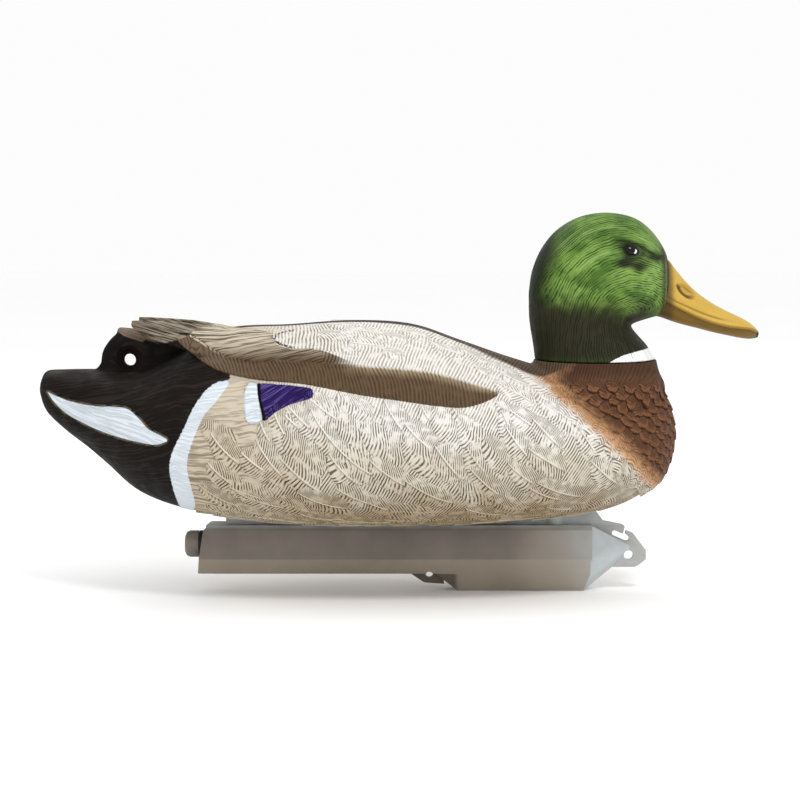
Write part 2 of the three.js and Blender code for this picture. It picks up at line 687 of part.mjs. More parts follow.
function ballastSeal() {
  const inner = GROOVE_RADIUS + GAP;
  const shoulder = BALLAST_RADIUS - SEAL_CHAMFER;
  const rear = GROOVE[0] + GAP;
  const front = GROOVE[1] - GAP;
  return alongBallast([
    [inner, rear],
    [shoulder, rear],
    [BALLAST_RADIUS, rear + SEAL_CHAMFER],
    [BALLAST_RADIUS, front - SEAL_CHAMFER],
    [shoulder, front],
    [inner, front],
    [inner, rear],
  ]);
}

// ---- Assembly ----

const paint = (colour, roughness, metalness = 0) =>
  new THREE.MeshStandardMaterial({ color: colour, roughness, metalness });
const PAINTS = {
  hull: paint(0xcfc2a8, 0.75),
  head: paint(0x3f7a33, 0.55),
  eye: paint(0x0a0a0a, 0.08),
  keel: paint(0x7d7870, 0.6),
  cap: paint(0x6f6a63, 0.55),
  nylon: paint(0xe4e2dc, 0.5),
  rubber: paint(0x161616, 0.85),
  steel: paint(0xc2c4c6, 0.3, 1),
  tube: paint(0x3a3d40, 0.6),
  sand: paint(0xb79d70, 0.95),
};

const decoy = new THREE.Group();
const put = (name, made, material) => {
  const mesh = new THREE.Mesh(geometryOf(made), material);
  mesh.name = name;
  decoy.add(mesh);
};

put("hull_shell", hullShell(), PAINTS.hull);
put("neck_bush", neckBush(), PAINTS.nylon);
put("keel_shell", keelShell(), PAINTS.keel);
SCREW_XS.forEach((x, i) => {
  put(`keel_screw_${i + 1}`, keelScrew(x), PAINTS.steel);
  put(`keel_washer_${i + 1}`, keelWasher(x), PAINTS.rubber);
});
put("head_shell", headShell(), PAINTS.head);
put("neck_spigot", neckSpigot(), PAINTS.nylon);
put("neck_seal_ring", neckSealRing(), PAINTS.rubber);
put("eye_left", eyeSolid(1, EYE_RADIUS, EYE_DEPTH), PAINTS.eye);
put("eye_right", eyeSolid(-1, EYE_RADIUS, EYE_DEPTH), PAINTS.eye);
put("ballast_tube", ballastTube(), PAINTS.tube);
put("ballast_sand", ballastSand(), PAINTS.sand);
put("ballast_front_plug", ballastPlug(), PAINTS.rubber);
put("ballast_end_cap", ballastCap(), PAINTS.cap);
put("ballast_seal_ring", ballastSeal(), PAINTS.rubber);

export default decoy;
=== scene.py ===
# The looks of a floating mallard drake decoy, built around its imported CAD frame. Metres, +X out of the
# bill, +Y to the duck's left, +Z up. Shapes are worked out in millimetres and scaled as meshes are made.

import math

import bmesh
import bpy
import numpy as np
from mathutils import Matrix, Vector
from mathutils.bvhtree import BVHTree


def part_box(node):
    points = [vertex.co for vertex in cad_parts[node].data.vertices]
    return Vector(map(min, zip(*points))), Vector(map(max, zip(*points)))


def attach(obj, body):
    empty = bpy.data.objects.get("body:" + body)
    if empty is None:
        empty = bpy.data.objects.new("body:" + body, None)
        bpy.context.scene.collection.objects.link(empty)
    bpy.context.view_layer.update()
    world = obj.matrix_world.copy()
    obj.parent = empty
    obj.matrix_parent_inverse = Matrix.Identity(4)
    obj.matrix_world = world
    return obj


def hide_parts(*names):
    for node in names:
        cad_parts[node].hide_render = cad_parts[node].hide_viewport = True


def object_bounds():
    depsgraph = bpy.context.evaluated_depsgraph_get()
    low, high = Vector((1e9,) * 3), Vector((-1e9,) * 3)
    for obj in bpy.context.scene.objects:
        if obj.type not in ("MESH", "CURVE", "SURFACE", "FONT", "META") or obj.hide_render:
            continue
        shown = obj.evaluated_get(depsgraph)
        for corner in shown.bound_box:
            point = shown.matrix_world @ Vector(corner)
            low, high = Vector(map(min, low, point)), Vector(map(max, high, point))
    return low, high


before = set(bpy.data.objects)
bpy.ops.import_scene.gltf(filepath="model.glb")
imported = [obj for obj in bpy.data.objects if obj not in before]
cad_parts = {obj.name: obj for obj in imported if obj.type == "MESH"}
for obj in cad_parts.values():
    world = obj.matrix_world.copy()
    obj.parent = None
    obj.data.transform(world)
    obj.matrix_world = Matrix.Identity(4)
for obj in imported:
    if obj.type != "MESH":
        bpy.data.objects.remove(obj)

CAD_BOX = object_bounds()
MM = 0.001
RANDOM = np.random.default_rng(7)

# ---- Driving sizes, in millimetres. What the frame knows is read from it. ----

HEAD_LOW, HEAD_HIGH = (np.array(corner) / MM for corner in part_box("head_shell"))
BUSH_LOW, BUSH_HIGH = (np.array(corner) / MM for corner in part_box("neck_bush"))
NECK_X = (BUSH_LOW[0] + BUSH_HIGH[0]) / 2
SEAM_Z = BUSH_HIGH[2] + 0.15  # the hull's flat land under the head
HEAD_BASE = HEAD_LOW[2]
NECK_RADIUS = 40.0
BILL_TIP = HEAD_HIGH[0]
EYE_PLACE = (154.4, 225.9)  # as the camera sees it
EYE_HALF_LENGTH = 4.9
EYE_HALF_HEIGHT = 3.3
EYE_BULGE = 2.1
EYE_SLANT = math.radians(-14)

# The camera looks at the duck's right side. The paint's zones are drawn as it sees them.
VIEW_TILT = math.radians(5)
VIEW_WIDTH = 533.3  # what the frame takes in, on the middle plane
LENS = 110.0
SENSOR = 36.0
VIEW_DISTANCE = VIEW_WIDTH * LENS / SENSOR
AIM = np.array([0.3, 0.0, 126.8])
SEEN_DROP = 0.5  # how far the outlines are drawn below what the camera sees

# Each row: top x, z; side x, y, z; bottom x, z; and the section's power above and below the side.
HULL_SECTIONS = [
    [-237.8, 141, -238.3, 12, 134.5, -237.8, 130, 2.2, 2.2],
    [-234.5, 146.4, -234.5, 20, 131, -233.4, 118.5, 2.3, 2.2],
    [-223, 147.2, -223, 27, 128, -221, 106.5, 2.4, 2.2],
    [-207, 147.4, -207, 34, 124, -206, 95, 2.4, 2.2],
    [-191, 147, -191, 42, 119, -192, 83, 2.3, 2.2],
    [-172, 147, -172, 54, 113, -174, 67.5, 2.2, 2.2],
    [-148, 158, -148, 68, 107, -149, 57.5, 2.2, 2.3],
    [-114, 174.6, -114, 80, 103, -114, 51, 2.2, 2.4],
    [-73, 177.3, -73, 88, 100, -73, 47.2, 2.2, 2.5],
    [-30, 180, -30, 91, 98, -28, 46, 2.2, 2.5],
    [8, 177.6, 12, 91, 97, 20, 46.4, 2.2, 2.5],
    [40, 167, 54, 88, 96, 64, 48.2, 2.1, 2.5],
    [75, 155, 92, 81, 96, 101, 51, 2, 2.4],
    [107, 146.5, 122, 70, 98, 131, 55, 2, 2.3],
    [147, 143.5, 150, 52, 99, 154, 61.5, 2, 2.2],
    [169, 138, 171, 32, 101, 171, 71, 2, 2.1],
    [179, 125, 179.6, 15, 104, 179.4, 85, 2, 2],
    [183.2, 106.5, 183.3, 2, 105, 183.2, 103.5, 2, 2],
]

# The neck stub on the hull. Each row: z, centre x, radius along x, radius along y.
NECK_STUB = [
    [108, NECK_X - 6, 30, 34],
    [120, NECK_X - 4, 42, 46],
    [130, NECK_X - 2, 46, 49],
    [139, NECK_X - 0.5, 46, 46],
    [147, NECK_X, NECK_RADIUS + 2.4, NECK_RADIUS + 2],
    [SEAM_Z + 3, NECK_X, NECK_RADIUS, NECK_RADIUS],
]

# The left wing's tip. Each row: x, y, z of the middle, half width, half thickness.
WING_TIP = [
    [-92, 36, 162, 17, 3],
    [-130, 31, 169.5, 19, 4],
    [-152, 27, 173.5, 14.5, 3.8],
    [-166, 25, 176, 9.5, 3.4],
    [-175.5, 24, 179, 3.4, 1.8],
]
WING_TIP_ROLL = 0.42
# The feathers that lie flat between the wing tips, in the same way.
FLIGHT_FEATHERS = [
    [-112, 0, 163, 15, 4],
    [-150, 0, 168.5, 14, 4],
    [-175, 0, 171, 9, 3.5],
    [-187.5, 0, 174, 3.5, 1.6],
]
TAIL_CURL = [
    [-198, 143], [-198.2, 152], [-197, 159.6], [-193, 166.2], [-187.6, 171.2], [-180, 173.4],
    [-165, 171], [-135, 166], [-130, 145],
]
TAIL_CURL_HOLE = (-179.2, 153.9)
TAIL_CURL_THICKNESS = 13
TAIL_HOLE_RADIUS = 4
DISH_REACH = 7  # how far round its hole the tail curl is thinned
DISH_THINNING = 0.55
BAND_SINK = 1.2  # how far the skin under the wing band's front half is set in
STRIPE_RISE = 0.5
SKIN_VOXEL = 1.35
HEAD_VOXEL = 0.95


# ---- Mesh tools ----

def catmull_rom(a, b, c, d, share):
    """A place between b and c on the smooth curve through a, b, c and d."""
    return 0.5 * (
        2 * b + (c - a) * share + (2 * a - 5 * b + 4 * c - d) * share**2 + (3 * b - a - 3 * c + d) * share**3
    )


def curve_rows(rows, shares):
    """Points at these shares of the way along a Catmull-Rom curve through the rows."""
    rows = np.asarray(rows, float)
    place = np.clip(np.asarray(shares) * (len(rows) - 1), 0, len(rows) - 1 - 1e-9)
    i = place.astype(int)
    padded = np.vstack([2 * rows[0] - rows[1], rows, 2 * rows[-1] - rows[-2]])
    return catmull_rom(*(padded[i + k] for k in range(4)), (place - i)[:, None])


def loft_faces(rings, count, start=0):
    """Quads between rings of points that are stored one after another, with both ends closed."""
    faces = []
    for i in range(rings - 1):
        for j in range(count):
            a = start + i * count + j
            b = start + i * count + (j + 1) % count
            faces.append((a, b, b + count, a + count))
    last = start + (rings - 1) * count
    faces.append(tuple(range(start + count - 1, start - 1, -1)))
    faces.append(tuple(range(last, last + count)))
    return faces


def power(value, exponent):
    """A power that keeps the value's sign."""
    return np.sign(value) * np.abs(value) ** exponent


def hull_rings(steps=90, count=96):
    """Rings across the body, each with its own roundness above and below its sides."""
    rows = curve_rows(HULL_SECTIONS, np.linspace(0, 1, steps))
    angle = np.linspace(0, 2 * np.pi, count, endpoint=False)
    rings = []
    for top_x, top_z, side_x, side_y, side_z, low_x, low_z, upper, lower in rows:
        above = np.cos(angle) >= 0
        exponent = 2 / np.where(above, upper, lower)
        rise = np.abs(np.cos(angle)) ** exponent
        out = power(np.sin(angle), exponent)
        end_x = np.where(above, top_x, low_x)
        end_z = np.where(above, top_z, low_z)
        x = side_x + (end_x - side_x) * rise
        z = side_z + (end_z - side_z) * rise
        rings.append(np.stack([x, side_y * out, z], axis=1))
    return np.concatenate(rings), steps, count


def level_rings(rows, steps, count=64):
    """Level ellipses from rows of z, centre x, radius along x, radius along y."""
    rows = curve_rows(rows, np.linspace(0, 1, steps))
    angle = np.linspace(0, 2 * np.pi, count, endpoint=False)
    rings = [
        np.stack([x + rx * np.cos(angle), ry * np.sin(angle), np.full(count, z)], axis=1)
        for z, x, rx, ry in rows
    ]
    return np.concatenate(rings), steps, count


def blade_rings(rows, roll, hand=1, steps=24, count=28):
    """Upright ellipses rolled about X, from rows of x, y, z, half width and half thickness."""
    rows = curve_rows(rows, np.linspace(0, 1, steps))
    angle = np.linspace(0, 2 * np.pi, count, endpoint=False)
    rings = []
    for x, y, z, wide, thick in rows:
        across = max(wide, 0.5) * np.cos(angle)
        up = max(thick, 0.4) * np.sin(angle)
        rings.append(np.stack([
            np.full(count, x),
            hand * y + across * math.cos(roll) + up * math.sin(roll),
            z - across * math.sin(roll) + up * math.cos(roll),
        ], axis=1))
    return np.concatenate(rings), steps, count


def add_mesh(name, points, faces):
    """A mesh object from points in millimetres."""
    mesh = bpy.data.meshes.new(name)
    mesh.from_pydata((np.asarray(points) * MM).tolist(), [], faces)
    mesh.update()
    obj = bpy.data.objects.new(name, mesh)
    bpy.context.scene.collection.objects.link(obj)
    return obj


def outward(mesh):
    """Turns a closed mesh's faces outward."""
    work = bmesh.new()
    work.from_mesh(mesh)
    bmesh.ops.recalc_face_normals(work, faces=work.faces)
    work.to_mesh(mesh)
    work.free()


def from_solids(name, solids):
    """One object from several closed lofts, given as (points, rings, count)."""
    points, faces, start = [], [], 0
    for cloud, rings, count in solids:
        faces += loft_faces(rings, count, start)
        points.append(cloud)
        start += len(cloud)
    obj = add_mesh(name, np.concatenate(points), faces)
    outward(obj.data)
    return obj


def apply_modifiers(obj):
    """Bakes an object's modifiers into a new mesh of its own."""
    depsgraph = bpy.context.evaluated_depsgraph_get()
    made = bpy.data.meshes.new_from_object(obj.evaluated_get(depsgraph))
    old = obj.data
    obj.modifiers.clear()
    obj.data = made
    bpy.data.meshes.remove(old)


def remesh(obj, voxel):
    """Fuses overlapping solids into one skin of even quads. voxel is in millimetres."""
    modifier = obj.modifiers.new("skin", "REMESH")
    modifier.mode = "VOXEL"
    modifier.voxel_size = voxel * MM
    modifier.adaptivity = 0
    apply_modifiers(obj)


def read_points(mesh):
    """A mesh's points, in millimetres."""
    points = np.empty(len(mesh.vertices) * 3)
    mesh.vertices.foreach_get("co", points)
    return points.reshape(-1, 3) / MM


def write_points(mesh, points):
    """Moves a mesh's points to places in millimetres."""
    mesh.vertices.foreach_set("co", (points * MM).ravel())
    mesh.update()


def read_normals(mesh):
    """The normals at a mesh's points."""
    normals = np.empty(len(mesh.vertices) * 3)
    mesh.vertices.foreach_get("normal", normals)
    return normals.reshape(-1, 3)


def relax(mesh, rounds, keep=None):
    """Smooths a mesh without shrinking it: each point moves towards its neighbours' mean, then nearly back.

    keep is 1 where points stay as they are.
    """
    points = read_points(mesh)
    edges = np.empty(len(mesh.edges) * 2, dtype=np.int64)
    mesh.edges.foreach_get("vertices", edges)
    a, b = edges.reshape(-1, 2).T
    degree = np.bincount(np.concatenate([a, b]), minlength=len(points))[:, None]
    free = np.ones((len(points), 1)) if keep is None else (1 - keep)[:, None]
    for step in range(rounds * 2):
        total = np.empty_like(points)
        for axis in range(3):
            total[:, axis] = (
                np.bincount(a, weights=points[b, axis], minlength=len(points))
                + np.bincount(b, weights=points[a, axis], minlength=len(points))
            )
        share = 0.6 if step % 2 == 0 else -0.55
        points += share * free * (total / degree - points)
    write_points(mesh, points)


def add_attribute(mesh, name, values):
    """Up to three numbers per vertex that the material's nodes read."""
    values = np.asarray(values, np.float32).reshape(len(mesh.vertices), -1)
    vectors = np.zeros((len(values), 3), np.float32)
    vectors[:, :values.shape[1]] = values
    mesh.attributes.new(name, "FLOAT_VECTOR", "POINT").data.foreach_set("vector", vectors.ravel())


def dress_mesh(obj, material):
    """Smooth shading and one material."""
    obj.data.polygons.foreach_set("use_smooth", np.ones(len(obj.data.polygons), dtype=bool))
    obj.data.materials.clear()
    obj.data.materials.append(material)


# ---- Zones of paint, seen from the side ----

def seen_from_side(points):
    """Where the camera sees points, measured on the middle plane, the same for both sides of the duck."""
    x = points[:, 0] - AIM[0]
    out = np.abs(points[:, 1])
    z = points[:, 2] - AIM[2]
    depth = out * math.cos(VIEW_TILT) + z * math.sin(VIEW_TILT)
    rise = z * math.cos(VIEW_TILT) - out * math.sin(VIEW_TILT)
    scale = VIEW_DISTANCE / (VIEW_DISTANCE - depth)
    return np.stack([AIM[0] + x * scale, AIM[2] + rise * scale - SEEN_DROP], axis=1)


def segment_distance(places, start, end):
    """Distance of each place to a straight line's nearest point."""
    side = end - start
    share = np.clip(((places - start) @ side) / (side @ side), 0, 1)
    return np.linalg.norm(places - start - share[:, None] * side, axis=1)


def inside_distance(places, outline):
    """Distance of each place to a closed outline, positive inside it."""
    outline = np.asarray(outline, float)
    nearest = np.full(len(places), 1e9)
    crossings = np.zeros(len(places), dtype=int)
    for start, end in zip(outline, np.roll(outline, -1, axis=0)):
        side = end - start
        nearest = np.minimum(nearest, segment_distance(places, start, end))
        spans = (start[1] > places[:, 1]) != (end[1] > places[:, 1])
        with np.errstate(divide="ignore", invalid="ignore"):
            cross_x = start[0] + (places[:, 1] - start[1]) * side[0] / side[1]
        crossings += spans & (places[:, 0] < cross_x)
    return np.where(crossings % 2 == 1, nearest, -nearest)


def smooth_outline(points, steps=6):
    """A closed outline rounded off through its points."""
    corners = [np.roll(points, turn, axis=0)[:, None] for turn in (1, 0, -1, -2)]
    return catmull_rom(*corners, np.linspace(0, 1, steps, endpoint=False)[:, None]).reshape(-1, 2)


# Lines on the folded wing, from its rear to its front.
BAND_LOWER = [
    [-149.1, 167], [-144.5, 162.3], [-136, 155.6], [-128.8, 150.1], [-118.8, 145.1], [-107.4, 142],
    [-93.1, 139.4], [-78.8, 138.2], [-64.5, 136.8], [-50.2, 134.2], [-35.9, 131.3], [-21.7, 128.7],
    [0.2, 125.6], [23.1, 122.3], [41.4, 121], [53.6, 123.6], [63.5, 128], [67.3, 132],
]
BAND_UPPER = [
    [-149.1, 167.5], [-140, 169.5], [-130, 166], [-120, 160], [-108, 156], [-90, 154], [-70, 152],
    [-45, 150.5], [-20, 149.5], [0.2, 148], [15.5, 146.5], [33, 142.9], [42.9, 140], [58.1, 135.4],
    [67.3, 132.2],
]
TERTIAL_LOWER = [
    [-147, 169.5], [-140.2, 168.8], [-136, 166.4], [-130.2, 162.5], [-121.7, 157.1], [-113.1, 153.1],
    [-101.7, 150.7], [-90.2, 150.3], [-78, 150.2], [-62, 148], [-45, 147.5], [-28, 148],
]
TERTIAL_UPPER = [
    [-147, 170.3], [-139, 174], [-125, 175.3], [-108, 174.6], [-95, 173.4], [-85, 171], [-72, 166],
    [-60, 162], [-45, 157], [-28, 150],
]
SCAPULAR_LOWER = [
    [-84.9, 167.6], [-83, 164.2], [-78, 161.8], [-70.3, 159.8], [-60, 160.4], [-45, 158.5], [-30, 157],
    [-10, 156],
]
SCAPULAR_UPPER = [
    [-84.9, 168.2], [-82, 171.2], [-76, 173], [-66, 175], [-56, 176.6], [-43, 177.4], [-28, 177.6],
    [-10, 177],
]


def between(lower, upper):
    """The closed outline between two smooth lines."""
    shares = np.linspace(0, 1, 60)
    return np.concatenate([curve_rows(lower, shares), curve_rows(upper, shares)[::-1]])


WING_BAND = between(BAND_LOWER, BAND_UPPER)
TERTIALS = between(TERTIAL_LOWER, TERTIAL_UPPER)
SCAPULARS = between(SCAPULAR_LOWER, SCAPULAR_UPPER)
PRIMARIES = np.array([
    [-182, 190], [-182, 171], [-168, 166], [-160, 163.5], [-149, 166], [-140, 169.5], [-136, 174],
    [-120, 176.2], [-112, 190],
])
TAIL_TIP = np.array([[-196, 185], [-193, 176], [-184, 169], [-172, 165], [-166, 168], [-174, 185]])
BREAST = np.array([
    [91.7, 142.5], [97, 138.5], [108.2, 127.7], [128.7, 109.8], [148.9, 91.2], [167.6, 71.8], [205, 40],
    [230, 100], [205, 175], [112, 175], [106, 152], [100, 145],
])
SADDLE = np.array([
    [-60, 178.2], [-33, 178.6], [0, 176.3], [23, 173], [32.2, 168.2], [42.9, 164], [53.6, 158.8],
    [68.8, 152], [81, 145.8], [91.7, 141.8], [98, 142.6], [110, 147], [118, 156], [118, 200], [-60, 200],
])
# The dark strip along the back's middle: x, and half its width there.
BACK_STRIP = ([-160, -140, -122, -105, -85, -40, 10, 60, 62], [2, 14, 17, 12, 9, 11, 15, 18, -50])
# How far out from the middle the saddle reaches: x, and the reach there.
SADDLE_REACH = ([-60, -20, 10, 35, 60, 80, 100], [10, 13, 18, 25, 33, 39, 70])
RUMP = smooth_outline([
    [-250, 90], [-205, 60], [-144, 40], [-137, 52], [-143, 72], [-141, 90], [-133, 113], [-122, 134],
    [-113, 141.5], [-117, 149], [-132, 159], [-143, 168], [-165, 172], [-180, 188], [-215, 188],
    [-250, 160],
])
FLANK_STRIPE = smooth_outline([
    [-121.7, 138], [-113.6, 138], [-123.1, 124.4], [-130.2, 115.9], [-134.5, 107.3], [-139.5, 94],
    [-141.6, 80], [-136.2, 55], [-146, 55], [-153, 76], [-152, 90], [-143.8, 107.3], [-138.1, 120],
    [-130.2, 131.6],
])
TAIL_LOWER = [
    [-234.6, 131.3], [-230, 124.5], [-221.2, 116.6], [-205.3, 108.2], [-189.3, 102], [-172.3, 97.7],
    [-162, 96.4], [-155, 98.6],
]
TAIL_UPPER = [
    [-234.6, 131.8], [-226, 127.8], [-215.9, 124.6], [-202.1, 122.2], [-190, 121.8], [-181, 120.2],
    [-173, 113.2], [-167.5, 107], [-161, 103.6], [-155, 100.4],
]
SPECULUM_LOWER = [[-91.5, 112], [-82, 118.5], [-71.7, 123.6], [-62, 126.8], [-57.4, 130.2]]
SPECULUM_UPPER = [[-94.8, 137], [-85, 136.9], [-72, 136], [-62, 134.6], [-57.4, 131.8]]
BAR_LOWER = [[-102.6, 113], [-99.5, 110.3], [-94.8, 110.9], [-91.6, 112.8]]
BAR_UPPER = [[-103.6, 134], [-100.6, 138], [-97, 138.2], [-94.9, 136.6]]
TAIL_PATCH = between(TAIL_LOWER, TAIL_UPPER)
SPECULUM_WHITE = np.array([
    [-100.2, 138], [-95.2, 137.3], [-94.5, 128.7], [-92.4, 118.7], [-91.4, 113], [-94.5, 110.9],
    [-99.5, 110.1], [-102.4, 113], [-103.8, 121.6], [-103.8, 130.1],
])
SPECULUM_BLACK = np.array([
    [-95.4, 137.5], [-92.6, 137.5], [-92.6, 128], [-90, 118], [-88.6, 112.5], [-91.6, 112.5], [-93, 119],
    [-95, 129],
])
SPECULUM_PURPLE = smooth_outline([
    [-93.6, 136.9], [-80, 136.6], [-68, 135.6], [-59.5, 134.2], [-57.2, 130.9], [-59.5, 127.2],
    [-71.7, 123.6], [-82, 118.5], [-90, 112.3], [-91.8, 118], [-93.4, 128],
])


# In the order in which the paint reads them, three to an attribute.
ZONES = {
    "breast": BREAST, "band": WING_BAND, "rump": RUMP,
    "stripe": FLANK_STRIPE, "tail": TAIL_PATCH, "saddle": SADDLE,
    "white bar": SPECULUM_WHITE, "black bar": SPECULUM_BLACK, "purple": SPECULUM_PURPLE,
    "tertial": TERTIALS, "scapular": SCAPULARS, "primary": PRIMARIES,
    "tail tip": TAIL_TIP,
}


def saddle_distance(points, inside):
    """How far points are into the dark saddle: its outline seen from the side, and the strip on the back."""
    out = np.abs(points[:, 1])
    strip = np.interp(points[:, 0], *BACK_STRIP) - out
    reach = np.interp(points[:, 0], *SADDLE_REACH) - out
    return np.maximum(np.minimum(inside, reach), np.minimum(strip, points[:, 2] - 145))


def add_zones(mesh, points):
    """Stores distances into each zone of paint, and the place seen, three to an attribute."""
    places = seen_from_side(points)
    inside = {name: inside_distance(places, outline) for name, outline in ZONES.items()}
    inside["saddle"] = saddle_distance(points, inside["saddle"])
    values = np.column_stack([*inside.values(), places])
    for i, letter in enumerate("abcde"):
        add_attribute(mesh, f"zone_{letter}", values[:, i * 3:i * 3 + 3])


def ramp(value, low, high):
    """0 below low, 1 above high, smooth between."""
    share = np.clip((value - low) / (high - low), 0, 1)
    return share * share * (3 - 2 * share)


# ---- The hull's skin ----

def curl_solid():
    """The tail curl as a loft across the middle plane: its outline at several y, thinner at its rim."""
    outline = smooth_outline(TAIL_CURL, 5)
    middle = outline.mean(axis=0)
    rings = []
    half = TAIL_CURL_THICKNESS / 2
    for share, shrink in ((-1, 0.9), (-0.75, 1), (0.75, 1), (1, 0.9)):
        flat = middle + (outline - middle) * shrink
        rings.append(np.stack([flat[:, 0], np.full(len(flat), half * share), flat[:, 1]], axis=1))
    return np.concatenate(rings), 4, len(outline)


def cut_hole(obj, x, z, radius):
    """Cuts a round hole across the middle plane."""
    work = bmesh.new()
    size = {"radius1": radius * MM, "radius2": radius * MM, "depth": 0.08}
    bmesh.ops.create_cone(work, cap_ends=True, segments=40, **size)
    bmesh.ops.rotate(work, verts=work.verts, matrix=Matrix.Rotation(math.pi / 2, 3, "X"))
    bmesh.ops.translate(work, verts=work.verts, vec=(x * MM, 0, z * MM))
    mesh = bpy.data.meshes.new("hole")
    work.to_mesh(mesh)
    work.free()
    cutter = bpy.data.objects.new("hole", mesh)
    bpy.context.scene.collection.objects.link(cutter)
    modifier = obj.modifiers.new("hole", "BOOLEAN")
    modifier.object = cutter
    modifier.operation = "DIFFERENCE"
    modifier.solver = "EXACT"
    apply_modifiers(obj)
    bpy.data.objects.remove(cutter)


def build_skin():
    """The hull's bare form, fused into one skin."""
    skin = from_solids("hull_skin", [
        hull_rings(),
        level_rings(NECK_STUB, 24),
        blade_rings(WING_TIP, WING_TIP_ROLL, 1),
        blade_rings(WING_TIP, -WING_TIP_ROLL, -1),
        blade_rings(FLIGHT_FEATHERS, 0),
        curl_solid(),
    ])
    remesh(skin, SKIN_VOXEL)
    relax(skin.data, 4)
    points = read_points(skin.data)
    around_neck = np.hypot(points[:, 0] - NECK_X, points[:, 1]) < NECK_RADIUS + 3
    points[around_neck, 2] = np.minimum(points[around_neck, 2], SEAM_Z - 0.2)
    write_points(skin.data, points)
    return skin


def carve_skin(skin):
    """Raises and sinks the painted zones, and dishes the tail curl around its hole."""
    points = read_points(skin.data)
    normals = read_normals(skin.data)
    places = seen_from_side(points)
    front = ramp(places[:, 0], -70, 0)
    height = -BAND_SINK * front * ramp(inside_distance(places, WING_BAND), -0.8, 1.0)
    height += STRIPE_RISE * ramp(inside_distance(places, FLANK_STRIPE), -0.6, 0.6)
    points += normals * height[:, None]
    reach = np.hypot(points[:, 0] - TAIL_CURL_HOLE[0], points[:, 2] - TAIL_CURL_HOLE[1])
    dish = 1 - ramp(reach, TAIL_HOLE_RADIUS, TAIL_HOLE_RADIUS + DISH_REACH)
    near = np.abs(points[:, 1]) < TAIL_CURL_THICKNESS - 1
    points[:, 1] *= 1 - DISH_THINNING * dish * near
    write_points(skin.data, points)


# ---- Feathers ----

class Surface:
    """A skin that feathers are laid on."""

    def __init__(self, obj):
        mesh = obj.data
        mesh.calc_loop_triangles()
        points = read_points(mesh)
        faces = [tuple(t.vertices) for t in mesh.loop_triangles]
        self.tree = BVHTree.FromPolygons([Vector(p) for p in points.tolist()], faces)

    def nearest(self, place):
        """The skin's point that is nearest to a place, and its normal."""
        location, normal, _, _ = self.tree.find_nearest(Vector(place))
        return np.array(location), np.array(normal)

    def hit(self, start, direction):
        """Where a ray meets the skin and the normal there, or None."""
        location, normal, _, _ = self.tree.ray_cast(Vector(start), Vector(direction))
        return (np.array(location), np.array(normal)) if location else None

    def seen(self, places):
        """The points of the duck's right side that the camera sees at these places, with their normals."""
        back = np.array([0, -math.cos(VIEW_TILT), math.sin(VIEW_TILT)])
        up = np.array([0, math.sin(VIEW_TILT), math.cos(VIEW_TILT)])
        camera = AIM + back * VIEW_DISTANCE
        feet, normals = [], []
        for x, z in places:
            target = AIM + np.array([x - AIM[0], 0, 0]) + up * (z + SEEN_DROP - AIM[2])
            foot, normal = self.hit(camera, target - camera) or self.nearest(target - back * 5)
            feet.append(foot)
            normals.append(normal)
        return np.array(feet), np.array(normals)


def walked(points):
    """How far each point of a line is along it."""
    return np.concatenate([[0], np.cumsum(np.linalg.norm(np.diff(points, axis=0), axis=1))])


# Where a feather's points lie: shares of its length, and of its half width.
BLADE_ROWS = np.array([0, 0.13, 0.28, 0.44, 0.6, 0.74, 0.86, 0.94, 0.985, 1.0])
BLADE_COLUMNS = np.array([-1, -0.88, -0.6, -0.3, -0.05, 0, 0.05, 0.3, 0.6, 0.88, 1])
TUCK = -1.1  # how far a feather's root and edges are sunk into the skin


def blade_spread(share, widest):
    """A feather's half width at a share of its length, as a share of its greatest."""
    if share < widest:
        spread = 0.6 + 0.4 * math.sin(share / widest * math.pi / 2)
    else:
        spread = math.sqrt(max(1 - ((share - widest) / (1 - widest)) ** 2.3, 0.0))
    return max(spread, 0.05)


def blade_faces(start):
    """The faces of a feather whose points are stored row by row from start on."""
    rows, columns = len(BLADE_ROWS), len(BLADE_COLUMNS)
    faces = []
    for i in range(rows - 1):
        left = start + i * columns
        right = left + columns - 1
        faces += [(a, a + columns, a + columns + 1, a + 1) for a in range(left, right)]
        faces.append((left, right, right + columns, left + columns))
    last = start + (rows - 1) * columns
    faces.append(tuple(range(start, start + columns)))
    faces.append(tuple(range(last + columns - 1, last - 1, -1)))
    return faces


